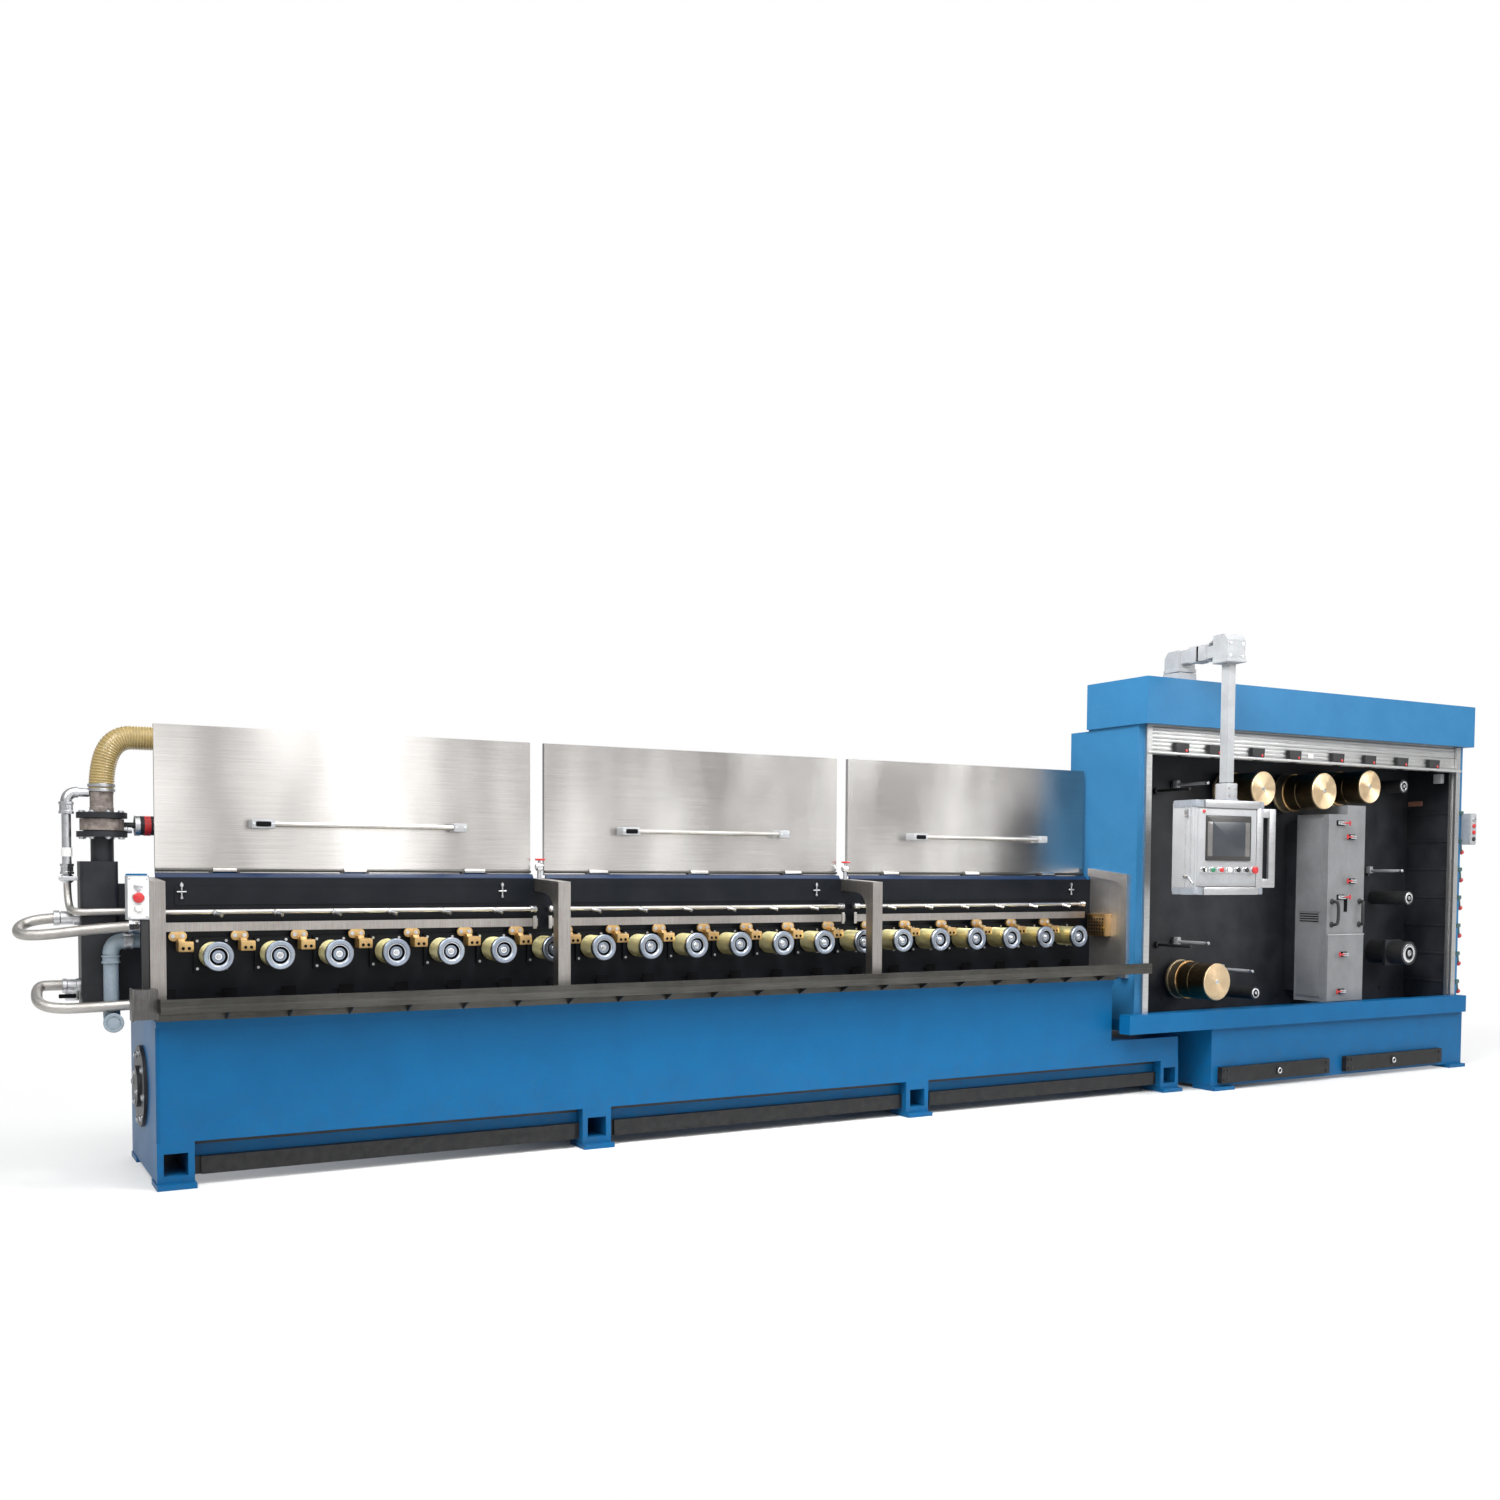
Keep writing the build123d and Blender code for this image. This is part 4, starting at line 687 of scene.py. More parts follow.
def bolts(name, places, facing, head, height, washer, paint, body="machine_frame"):
    """Bolt heads with washers on drawing places, all facing one way."""
    mesh = grown(marks_at(places), bolt_heads, Head_radius=head * MM, Head_height=height * MM,
                 Washer_radius=washer * MM, Facing=facing, Finish=paint)
    print(name, len(places), "bolts")
    return keep(name, mesh, body)


print("trees:", [g.name for g in bpy.data.node_groups if g.type == "GEOMETRY"])

# %% [markdown]
# The capstans pull the wire. Each is a lathe part: a straw-coloured hard coat on the grooved body, a
# bright steel ring in front and a hub with a bolt set back in the ring. A turned profile gives the true
# rings of light on the face, which a bevelled cylinder doesn't. Every capstan rides its own spindle.

# %% Capstans
STRAW = steel("straw_coat", (0.95, 0.88, 0.50, 1), (0.78, 0.69, 0.34, 1), (60.0, 4.0, 60.0), (0.26, 0.42))
RING_STEEL = steel("ground_ring", (0.38, 0.43, 0.50, 1), (0.27, 0.31, 0.38, 1), (70.0, 70.0, 70.0), (0.22, 0.36))
SHADOW = enamel("deep_shadow", (0.004, 0.004, 0.005, 1), (0.007, 0.007, 0.008, 1), (0.7, 0.8), shine=0.05)


def capstan(number):
    """One capstan, turned about its spindle."""
    place = (CAPSTAN_FIRST + (number - 1) * CAPSTAN_PITCH, 139.0, CAPSTAN_Z)
    form = Form()
    form.turned(RING_STEEL, place, (0, 1, 0), [(16, 36), (4, 36), (1, 38), (0, 40), (0, 53), (3, 56), (20, 56),
                                               (22, 54), (22, 30), (16, 30)], 48, looped=True)
    form.turned(CHROME, place, (0, 1, 0), [(5, 33), (3, 34), (3, 36), (5, 37)], 48, looped=True)
    form.turned(SHADOW, place, (0, 1, 0), [(15, 0), (15, 37), (17, 37), (17, 0)], 40)
    form.turned(RING_STEEL, place, (0, 1, 0), [(16, 25), (10, 25), (8, 23), (8, 18), (12, 16), (12, 0)], 40)
    form.turned(CHROME, place, (0, 1, 0), [(12, 14), (9, 14), (8, 13), (8, 0)], 24)
    form.turned(ZINC, place, (0, 1, 0), [(9, 9), (2, 9), (1, 8), (1, 0)], 6)
    grooves = [(22, 52), (27, 50)]
    for k in range(13):
        grooves += [(30 + 9 * k, 50), (31 + 9 * k, 47.4), (33 + 9 * k, 47.4), (34 + 9 * k, 50)]
    form.turned(STRAW, place, (0, 1, 0), grooves + [(147, 50), (150, 47), (150, 25), (170, 25), (170, 0)], 36)
    name = f"draw_capstan_{number:02d}"
    return keep(f"turned_capstan_{number:02d}", form.to_mesh(name), name, [name])


capstans = [capstan(number) for number in range(1, 21)]
print("capstans:", len(capstans), "faces each:", len(capstans[0].data.polygons))

# %% [markdown]
# Behind each capstan sits a square bearing flange with four bolts, and in front of it a brass die holder:
# a lug with round ends under the rail and a block with two bores. One holder is modelled and the row
# tree repeats it twenty times at the capstan pitch, so that a change to one changes all.

# %% Die holders and flange bolts
centres = [CAPSTAN_FIRST + n * CAPSTAN_PITCH for n in range(20)]
holder = Form()
x0 = CAPSTAN_FIRST
holder.plate(DULL_BRASS, "y", rounded((x0 - 162, x0 - 96), (902, 938), 16), 266, 278, 1.5)
holder.block(DULL_BRASS, (x0 - 135, x0 - 79), (208, 278), (862, 902), 5)
holder.plate(DULL_BRASS, "x", [(208, 886), (240, 912), (278, 912), (278, 886)], x0 - 132, x0 - 108, 2)
step = (CAPSTAN_PITCH * MM, 0.0, 0.0)
row = grown(holder.to_mesh("holder"), equal_row, Count=20, Step=step, Finish=DULL_BRASS)
keep("die_holder_row", row, replaces=["die_holders"])
bores = Form()
for shift in (-118, -96):
    bores.turned(SHADOW, (x0 + shift, 207.2, 876), (0, 1, 0), [(0, 0), (0, 6.4), (3, 6.4), (3, 0)], 18)
keep("die_bores", grown(bores.to_mesh("bores"), equal_row, Count=20, Step=step, Finish=SHADOW))
bolts("holder_bolts", [(x + dx, 266, 921) for x in centres for dx in (-147, -111)], (0, -1, 0), 5, 4, 8, ZINC)
bolts("flange_bolts", [(x + dx, 295, CAPSTAN_Z + dz) for x in centres for dx in (-54, 54) for dz in (-54, 54)],
      (0, -1, 0), 4, 3, 5.5, ZINC)

guide = Form()
guide.block(BRASS, (4778, 4824), (150, 280), (842, 954), 3)
guide.block(BRASS, (4770, 4824), (144, 284), (954, 962), 2)
keep("outlet_guide", guide.to_mesh("outlet_guide"))
bolts("outlet_bores", [(4778, 166 + 20 * j, 862 + 18 * k) for j in range(6) for k in range(5)], (-1, 0, 0), 5, 0.5, 6,
      SHADOW)

# %% [markdown]
# The wire ends on four brass drums in the cabinet. They are plain turned bodies with a bright face, a
# centre bolt, a darkened body and a proud rim at the back, so the same lathe method serves. The tool
# marks on the face are rings round each drum's own middle, so each face has its own finish.

# %% Brass drums
DARK_BRASS = steel("darkened_brass", (0.26, 0.185, 0.095, 1), (0.13, 0.092, 0.05, 1), (60.0, 3.0, 60.0), (0.22, 0.36))
REAR_BRASS = steel("rear_brass", (0.50, 0.42, 0.29, 1), (0.33, 0.27, 0.18, 1), (60.0, 60.0, 60.0), (0.3, 0.46))


def turned_face(name, x, z):
    """Bright brass with fine tool marks round a drum's middle."""
    material, tree, shader = finish(name, 1.0, 0.3)
    smudges = use_group(tree, blotches, Clean=(0.82, 0.63, 0.40, 1), Stained=(0.70, 0.51, 0.30, 1), Scale=9.0,
                        Gloss_low=0.26, Gloss_high=0.38)
    place = tree.nodes.new("ShaderNodeMapping")
    place.inputs["Location"].default_value = -spot(x, 0, z)
    tree.links.new(tree.nodes.new("ShaderNodeTexCoord").outputs["Object"], place.inputs["Vector"])
    marks = tree.nodes.new("ShaderNodeTexWave")
    marks.wave_type = "RINGS"
    marks.rings_direction = "Y"
    marks.inputs["Scale"].default_value = 260.0
    marks.inputs["Distortion"].default_value = 0.4
    tree.links.new(place.outputs["Vector"], marks.inputs["Vector"])
    tree.links.new(smudges.outputs["Colour"], shader.inputs["Base Color"])
    tree.links.new(smudges.outputs["Roughness"], shader.inputs["Roughness"])
    bump(tree, shader, marks.outputs["Fac"], 0.5, 0.0006)
    return material


DRUMS = [(5813, 1655, 96), (6321, 1657, 104), (6722, 1695, 96), (5474, 585, 102)]
for number, (x, z, r) in enumerate(DRUMS, 1):
    form = Form()
    face = turned_face(f"turned_face_{number}", x, z)
    form.turned(face, (x, 0, z), (0, 1, 0), [(3, 0), (3, 11), (0, 13), (0, r - 3), (3, r), (12, r)], 64)
    form.turned(DARK_BRASS, (x, 0, z), (0, 1, 0), [(11, r - 0.4), (120, r - 0.4), (121.5, r - 2), (123, r - 0.4),
                                                   (202, r - 0.4)], 64)
    form.turned(BRASS, (x, 0, z), (0, 1, 0), [(201, r - 1), (201, r + 4), (203, r + 6), (210, r + 6), (212, r + 4),
                                              (212, r - 1)], 64)
    form.turned(REAR_BRASS, (x, 0, z), (0, 1, 0), [(211, r - 1), (213, r + 3), (259, r + 3), (260, r + 8), (262, r + 9),
                                                   (272, r + 9), (274, r + 7), (274, 80), (284, 80), (284, 0)], 64)
    form.turned(CHROME, (x, 0, z), (0, 1, 0), [(4, 13), (1, 13), (0, 12), (0, 0)], 24)
    form.turned(ZINC, (x, 0, z), (0, 1, 0), [(3, 8), (-3, 8), (-4, 7), (-4, 0)], 6)
    name = f"brass_drum_{number}"
    keep(f"turned_drum_{number}", form.to_mesh(name), name, [name])
print("drums:", len(DRUMS))

# %% [markdown]
# The coolant comes in at the left end. A ribbed tan hose arches over to a black stack with a butterfly
# valve. The hose is a smooth spline with a thin wall, and the rib tree sets its wire spiral as rings.
# A helix would be truer, but at this pitch rings look the same and stay light.

# %% Suction hose and stack
TAN = flat_finish("tan_hose_wall", (0.30, 0.215, 0.075, 1), 0.34, 0.0, 0.25, spread=0.72)
TAN_RIB = flat_finish("tan_hose_rib", (0.40, 0.30, 0.125, 1), 0.3, 0.0, 0.25, spread=0.8)
RUST = enamel("rusty_pipe", (0.11, 0.088, 0.078, 1), (0.26, 0.22, 0.20, 1), (0.5, 0.75), scale=38.0, coat=0.0)
hose_line = flowing_line([(-122, 520, 1478), (-122, 520, 1690), (100, 520, 1690), (300, 520, 1690), (300, 520, 1400),
                          (300, 520, 1144)])
hose = Form()
hose.pipe(TAN, hose_line, 45, 28)
keep("hose_wall", hose.to_mesh("hose_wall"), replaces=["suction_hose"])
path_mesh = bpy.data.meshes.new("hose_path")
path_mesh.from_pydata(hose_line, [(k, k + 1) for k in range(len(hose_line) - 1)], [])
keep("hose_ribs", grown(path_mesh, ribs_on_path, Pitch=0.0105, Ring_radius=0.0448, Rib_radius=0.0024, Finish=TAN_RIB))

stack = Form()
stack.turned(RUST, (-122, 520, 1395), (0, 0, 1), [(2, 44), (20, 44), (22, 42.6), (70, 42.6), (72, 44), (84, 44)], 40)
for z in (1476, 1494):
    stack.turned(ZINC, (-122, 520, z), (0, 0, 1), [(0, 47), (0, 50), (11, 50), (11, 47)], 40, looped=True)
    stack.block(ZINC, (-134, -110), (462, 474), (z - 1, z + 12), 2)
stack.turned(RUST, (-122, 520, 1300), (0, 0, 1), [(26, 80), (26, 70), (70, 70), (70, 80)], 48, looped=True)
stack.turned(ZINC, (-122, 520, 1330), (1, 0, 0), [(60, 16), (90, 16), (92, 14), (108, 14)], 24)
stack.turned(RED, (-122, 520, 1347), (1, 0, 0), [(152, 36), (152, 39.8), (176, 39.8), (176, 36)], 36, looped=True)
stack.turned(ZINC, (-122, 520, 1347), (1, 0, 0), [(118, 30), (118, 40.5), (136, 40.5), (136, 30)], 36, looped=True)
keep("stack_fittings", stack.to_mesh("stack_fittings"))
ring_of_eight = [(math.cos(math.pi * k / 4 + 0.2), math.sin(math.pi * k / 4 + 0.2)) for k in range(8)]
bolts("valve_bolts_top", [(-122 + 76 * c, 520 + 76 * s, 1395) for c, s in ring_of_eight], (0, 0, 1), 9, 8, 13, ZINC)
bolts("valve_bolts_low", [(-122 + 76 * c, 520 + 76 * s, 1300) for c, s in ring_of_eight], (0, 0, -1), 9, 8, 13, ZINC)

# %% [markdown]
# Two braided hoses loop out to the left and back, a galvanised branch drops beside the stack, and a grey
# drain pipe turns down to the gutter's end. Hoses follow smooth splines; rigid pipes are straight bars with elbows,
# unions and collars, as a fitter would screw them together.

# %% Pipes and hoses at the inlet
BRAID = steel("steel_braid", (0.52, 0.50, 0.47, 1), (0.34, 0.32, 0.30, 1), (220.0, 220.0, 220.0), (0.35, 0.5), grain=0.3)
DRAIN_GREY = enamel("drain_pipe_grey", (0.20, 0.255, 0.30, 1), (0.28, 0.33, 0.37, 1), (0.3, 0.45), scale=14.0)
pipes = Form()


def collar(paint, place, axis, length, radius, sides=24):
    """A screwed collar with a raised band at each end."""
    pipes.turned(paint, place, axis, [(0, radius * 0.86), (0, radius), (length * 0.22, radius),
                                      (length * 0.26, radius * 0.9), (length * 0.74, radius * 0.9),
                                      (length * 0.78, radius), (length, radius), (length, radius * 0.86)], sides)


pipes.pipe(BRAID, flowing_line([(8, 352, 958), (-120, 352, 956), (-425, 352, 920), (-425, 520, 960), (-330, 520, 990),
                                (-208, 520, 988)]), 20, 20)
pipes.pipe(BRAID, flowing_line([(8, 352, 660), (-100, 352, 655), (-365, 352, 650), (-365, 520, 726), (-300, 520, 730),
                                (-208, 520, 726)]), 20, 20)
collar(CHROME, (8, 352, 958), (-1, 0, 0), 58, 29)
collar(ZINC, (-208, 520, 988), (-1, 0, 0), 90, 29)
collar(CHROME, (8, 352, 660), (-1, 0, 0), 54, 28)
collar(ZINC, (-208, 520, 726), (-1, 0, 0), 62, 28)
pipes.block(ZINC, (-262, -214), (500, 540), (668, 712), 6)
pipes.rod(ZINC, (-238, 492, 690), (-238, 470, 690), 9)
pipes.block(SHADOW, (-288, -226), (462, 470), (682, 698), 3)

pipes.rod(ZINC, (-164, 520, 1471), (-212, 520, 1471), 17)
pipes.pipe(ZINC, flowing_line([(-206, 520, 1471), (-248, 520, 1471), (-248, 520, 1428)]), 21, 20)
collar(ZINC, (-248, 520, 1434), (0, 0, -1), 46, 27, 8)
pipes.rod(ZINC, (-248, 520, 1390), (-248, 520, 1190), 17)
pipes.turned(WHITE, (-248, 520, 1258), (0, 0, -1), [(0, 17), (0, 20), (34, 20), (34, 17)], 24, looped=True)
collar(CHROME, (-248, 520, 1196), (0, 0, -1), 40, 25, 8)
pipes.turned(CHROME, (-248, 520, 1156), (0, 0, -1), [(0, 16), (8, 24), (26, 24), (34, 16)], 24)
pipes.rod(CHROME, (-248, 498, 1140), (-248, 470, 1140), 7)
pipes.block(ZINC, (-282, -214), (464, 470), (1132, 1148), 3)
pipes.pipe(BRAID, flowing_line([(-248, 520, 1124), (-248, 510, 1030), (-230, 430, 1010), (-120, 425, 1013),
                                (8, 425, 1013)]), 14, 18)
collar(CHROME, (8, 425, 1013), (-1, 0, 0), 48, 21)

pipes.rod(DRAIN_GREY, (8, 405, 900), (-66, 405, 900), 27)
pipes.pipe(DRAIN_GREY, flowing_line([(-58, 405, 900), (-108, 405, 900), (-108, 405, 850)]), 30, 24)
pipes.rod(DRAIN_GREY, (-108, 405, 856), (-108, 405, 632), 28, 24)
pipes.pipe(DRAIN_GREY, flowing_line([(-108, 405, 640), (-108, 405, 592), (-108, 340, 592)]), 31, 24)
collar(ZINC, (-30, 405, 900), (-1, 0, 0), 34, 34)
collar(DRAIN_GREY, (-108, 405, 846), (0, 0, -1), 30, 34)
collar(DRAIN_GREY, (-108, 405, 662), (0, 0, -1), 28, 34)
pipes.turned(DRAIN_GREY, (-108, 344, 592), (0, -1, 0), [(0, 26), (0, 37), (10, 37), (12, 35), (12, 26)], 32, looped=True)
pipes.turned(DRAIN_GREY, (-108, 344, 592), (0, -1, 0), [(0, 27), (8, 27), (9, 24), (9, 0)], 32)
keep("inlet_pipework", pipes.to_mesh("inlet_pipework"), replaces=["coolant_hoses"])
print("inlet pipework done")

# %% [markdown]
# A small station with three buttons hangs on the first post, with its cable duct below it, and the end of
# the gutter carries a stainless box, its steel painted dark for the shade it stands in. The base's end has a
# bolted flange for a shaft. These are small, but they are what makes the left end read as a working machine.

# %% Inlet end details
SHADED_END_STEEL = steel("stained_steel", (0.15, 0.145, 0.14, 1), (0.075, 0.072, 0.07, 1), (60.0, 60.0, 4.0), (0.36, 0.55))
station = Form()
station.block(BLUE, (-86, -13), (94, 106), (1000, 1160), 3)
station.plate(WHITE, "y", rounded((-86, -16), (997, 1149), 7), 37, 41, 1.5)
for z, paint, radius in ((1113, ZINC, 13.5), (1073, RED, 20), (1033, WHITE, 12.5)):
    station.turned(ZINC, (-51, 38, z), (0, -1, 0), [(0, radius + 2.5), (3, radius + 2.5), (4, radius)], 28)
    station.turned(paint, (-51, 38, z), (0, -1, 0), [(3, radius - 2), (8, radius), (13, radius - 1), (15, radius - 4),
                                                    (16, 0)], 28)
for x in (-80, -22):
    for z in (1004, 1142):
        station.turned(ZINC, (x, 37, z), (0, -1, 0), [(0, 4), (1.5, 4), (2, 3), (2, 0)], 12)
station.block(RUBBER, (-40, -14), (44, 66), (646, 994), 4)
# The gutter's end box is dark steel that paints the shade it stands in.
station.block(SHADED_END_STEEL, (-80, 6), (-20, 44), (632, 742), 3)
station.block(SHADED_END_STEEL, (-84, -76), (-26, 50), (628, 746), 2)
keep("inlet_station", station.to_mesh("inlet_station"))
bolts("end_flange_bolts", [(-14, 410 + 136 * c, 335 + 136 * s) for c, s in ring_of_eight], (-1, 0, 0), 11, 8, 15, ZINC)
bolts("end_cap_bolts", [(-28, 410 + 60 * c, 335 + 60 * s) for c, s in ring_of_eight[::2]], (-1, 0, 0), 9, 7, 13, ZINC)

# %% [markdown]
# The console is a box of aluminium profiles with grey corner pieces. It holds a screen in a dark bezel, a
# row of seven buttons and a flat grip at its right. The screen stays dark and bare. All of it rides on
# the console's own swivel, so the piece is one mesh in place of the plain solid.

# %% Console
CONSOLE_SHELL = enamel("console_shell", (0.34, 0.345, 0.355, 1), (0.295, 0.30, 0.308, 1), (0.38, 0.5), scale=7.0)
PROFILE = steel("console_profile", (0.54, 0.54, 0.55, 1), (0.47, 0.47, 0.48, 1), (2.0, 90.0, 90.0), (0.38, 0.48))
BEZEL = flat_finish("screen_bezel", (0.020, 0.018, 0.017, 1), 0.32, 0.0, 0.2)
SCREEN = flat_finish("screen_glass", (0.030, 0.036, 0.044, 1), 0.30, 0.0, 0.1, spread=0.82)
SIDE_STRIP = flat_finish("screen_side_strip", (0.13, 0.125, 0.12, 1), 0.25, 0.0, 0.3)
console = Form()
console.block(CONSOLE_SHELL, (4796, 5268), (-448, -292), (1086, 1534), 5)
console.block(CONSOLE_SHELL, (4792, 4800), (-440, -300), (1108, 1512), 2)
for y in (-418, -384):
    console.rod(ZINC, (4792, y, 1104), (4792, y, 1516), 3.0, 10)
console.block(CHROME, (4782, 4794), (-404, -380), (1462, 1500), 3)
console.block(CHROME, (4782, 4794), (-410, -376), (1158, 1170), 3)
console.rod(CHROME, (4788, -404, 1166), (4788, -440, 1130), 4, 10)
console.block(PROFILE, (4846, 5240), (-460, -296), (1508, 1548), 7)
console.block(PROFILE, (4846, 5240), (-460, -296), (1072, 1112), 7)
console.block(PROFILE, (5222, 5270), (-456, -300), (1104, 1516), 6)
for x in ((4790, 4848), (5238, 5280)):
    for z in ((1510, 1546), (1074, 1110)):
        console.plate(WARM_GREY, "z", rounded(x, (-457, -293), 16), z[0], z[1], 5)
console.plate(CONSOLE_SHELL, "y", rounded((4806, 5218), (1118, 1502), 5), -455, -446, 1)
console.plate(GREY, "y", rounded((4812, 5212), (1126, 1176), 3), -456.2, -454, 0.5)
console.plate(BEZEL, "y", rounded((4853, 5173), (1244, 1470), 4), -461, -454, 1.2)
console.plate(SIDE_STRIP, "y", rounded((4862, 5164), (1266, 1438), 2), -462, -460, 0.4)
console.plate(SCREEN, "y", rounded((4896, 5130), (1266, 1438), 2), -463, -461, 0.4)
console.turned(RED, (4838, -455, 1489), (0, -1, 0), [(0, 9), (3, 9), (7, 6), (8, 0)], 20)
colours = (RUBBER, GREEN, RED, WHITE, RUBBER, RUBBER, RED)
for k, paint in enumerate(colours):
    place = (4833 + 60 * k, -455, 1198)
    radius, reach = (19, 26) if k == 6 else (12, 24)
    console.turned(CHROME, place, (0, -1, 0), [(0, 16), (3, 16), (5, 14), (14, 14), (15, 12)], 28)
    console.turned(paint, place, (0, -1, 0), [(12, radius * 0.7), (reach * 0.6, radius), (reach - 2, radius),
                                              (reach, radius * 0.7), (reach + 0.5, 0)], 28)
console.block(WHITE, (4829, 4837), (-481, -477), (1189, 1207), 1)
console.block(PROFILE, (5322, 5369), (-451, -433), (1108, 1512), 5)
for z in ((1108, 1154), (1466, 1512)):
    console.block(PROFILE, (5264, 5340), (-450, -434), z, 5)
console.block(CONSOLE_SHELL, (5047, 5123), (-413, -337), (1544, 1638), 5)
console.block(WARM_GREY, (5043, 5127), (-417, -333), (1548, 1558), 3)
keep("dressed_console", console.to_mesh("dressed_console"), "console", ["console_box"])
bolts("socket_bolts", [(5085 + dx, -413, z) for dx in (-24, 24) for z in (1578, 1616)], (0, -1, 0), 5, 4, 8, ZINC, "console")
print("console done")

# %% [markdown]
# The jib arm is square tube with clamp collars at its joint, a dark gap between them, and a sloping
# shoulder where it meets the elbow. The arm leans a little to the left, so its parts are laid out along
# the arm's own direction. They ride on the arm.

# %% Jib arm details
jib_root, jib_elbow = Vector((5140.0, 0.0)), Vector((5085.0, -375.0))
arm_way = (jib_elbow - jib_root).normalized()
arm_side = Vector((-arm_way.y, arm_way.x))


def arm_outline(start, end, half):
    """A rectangle in plan along the arm, from start to end along it."""
    steps = ((start, -half), (end, -half), (end, half), (start, half))
    return [tuple(jib_root + arm_way * along + arm_side * across) for along, across in steps]


jib = Form()
jib.plate(GREY, "z", arm_outline(128, 178, 43), 2277, 2363, 4)
jib.plate(SHADOW, "z", arm_outline(176, 196, 38), 2282, 2358)
jib.plate(GREY, "z", arm_outline(194, 252, 41), 2279, 2361, 4)
for k in range(4):
    jib.plate(GREY, "z", arm_outline(262 + 16 * k, 330, 40), 2350, 2361 + 7 * k, 1)
jib.plate(GREY, "z", arm_outline(-58, 62, 58), 2243, 2262, 3)
jib.plate(GREY, "z", arm_outline(322, 440, 58), 2246, 2262, 3)
keep("jib_details", jib.to_mesh("jib_details"), "jib_arm")
elbow_face = [tuple(jib_root + arm_way * 434.0 + arm_side * across) for across in (-38, 38)]
bolts("elbow_bolts", [(x, y, z) for x, y in elbow_face for z in (2278, 2340)], tuple(arm_way) + (0.0,), 5, 4, 8, ZINC, "jib_arm")

# %% [markdown]
# A roller shutter closes the cabinet. Only its last slats show under the hood, above a bottom bar with
# eight black switch boxes that each carry a red dot. The slats repeat, so the row tree stacks them.

# %% Shutter slats and boxes
slat = Form()
slat.plate(ALUMINIUM, "x", [(-19, 1828), (-23, 1831), (-24, 1838), (-23, 1845), (-19, 1848)], 4916, 7474)
keep("shutter_slats", grown(slat.to_mesh("slat"), equal_row, Count=6, Step=(0.0, 0.0, 0.021), Finish=ALUMINIUM))
boxes = Form()
for x in (5127, 5378, 5712, 6012, 6378, 6661, 6955, 7252):
    boxes.plate(RUBBER, "y", [(x - 50, 1872), (x + 50, 1872), (x + 44, 1806), (x - 12, 1800), (x - 44, 1812)], -46, -22, 3)
    boxes.turned(RED, (x + 26, -46, 1832), (0, -1, 0), [(0, 8), (2, 8), (3, 6), (3, 0)], 20)
boxes.rod(ALUMINIUM, (4882, -40, 1814), (7512, -40, 1814), 9, 20)
for x in range(4960, 7480, 240):
    boxes.block(ALUMINIUM, (x - 8, x + 8), (-40, -25), (1808, 1820), 2)
boxes.plate(WHITE, "y", rounded((6140, 6184), (1836, 1862), 3), -27, -23, 1)
keep("shutter_boxes", boxes.to_mesh("shutter_boxes"))

# %% [markdown]
# The grey column hides the annealing gear. Its front has six toggle clamps with red levers, two black bow
# handles and a slot; its side has two raised panels with louvres. Clamps repeat but each points its own
# way, so a loop sets them one by one.

# %% Column fittings
column = Form()
for k, (x, z, left) in enumerate(((6445, 1476, False), (6538, 1397, True), (6548, 1141, True), (6460, 1047, False),
                                  (6483, 715, True), (6466, 500, True))):
    face = -15 if z > 830 else -23
    way = -1 if left else 1
    column.block(SHADOW, tuple(sorted((x - way * 34, x + way * 30))), (face - 3, face + 1), (z - 15, z + 15), 1)
    column.block(CHROME, tuple(sorted((x - way * 30, x + way * 14))), (face - 14, face - 2), (z - 10, z + 10), 3)
    column.rod(CHROME, (x - way * 26, face - 18, z + 6), (x + way * 22, face - 18, z + 6), 5, 12)
    column.rod(CHROME, (x - way * 26, face - 18, z - 6), (x + way * 22, face - 18, z - 6), 5, 12)
    column.rod(RED, (x + way * 12, face - 20, z), (x + way * 60, face - 22, z), 5, 12)
    column.rod(RED, (x + way * 56, face - 22, z - 14), (x + way * 56, face - 22, z + 14), 5, 12)
for x in (6386, 6628):
    way = 1 if x < 6500 else -1
    column.pipe(RUBBER, flowing_line([(x, -15, 1022), (x, -44, 1022), (x + 14 * way, -50, 1010), (x + 14 * way, -50, 900),
                                      (x, -44, 888), (x, -15, 888)]), 9, 14)
    for z in (1022, 888):
        column.turned(RUBBER, (x, -14, z), (0, -1, 0), [(0, 17), (5, 17), (9, 13), (12, 9)], 20)
column.plate(SHADOW, "y", rounded((6490, 6520), (962, 1050), 4), -16, -14)
column.plate(COLUMN_GREY, "x", rounded((24, 184), (962, 1508), 4), 6339, 6347, 2)
column.plate(COLUMN_GREY, "x", rounded((24, 184), (468, 890), 4), 6339, 6347, 2)
for z in (906, 920, 934, 948):
    column.block(SHADOW, (6342, 6348), (40, 168), (z - 3, z + 3), 1)
column.block(GREY, (6345, 6665), (-26, -21), (826, 833), 2)
# A black block over the rear mount's sides paints the shade behind the column.
column.block(BLACK, (6392, 6618), (200.5, 309.5), (487, 1479), 3)
keep("column_fittings", column.to_mesh("column_fittings"))
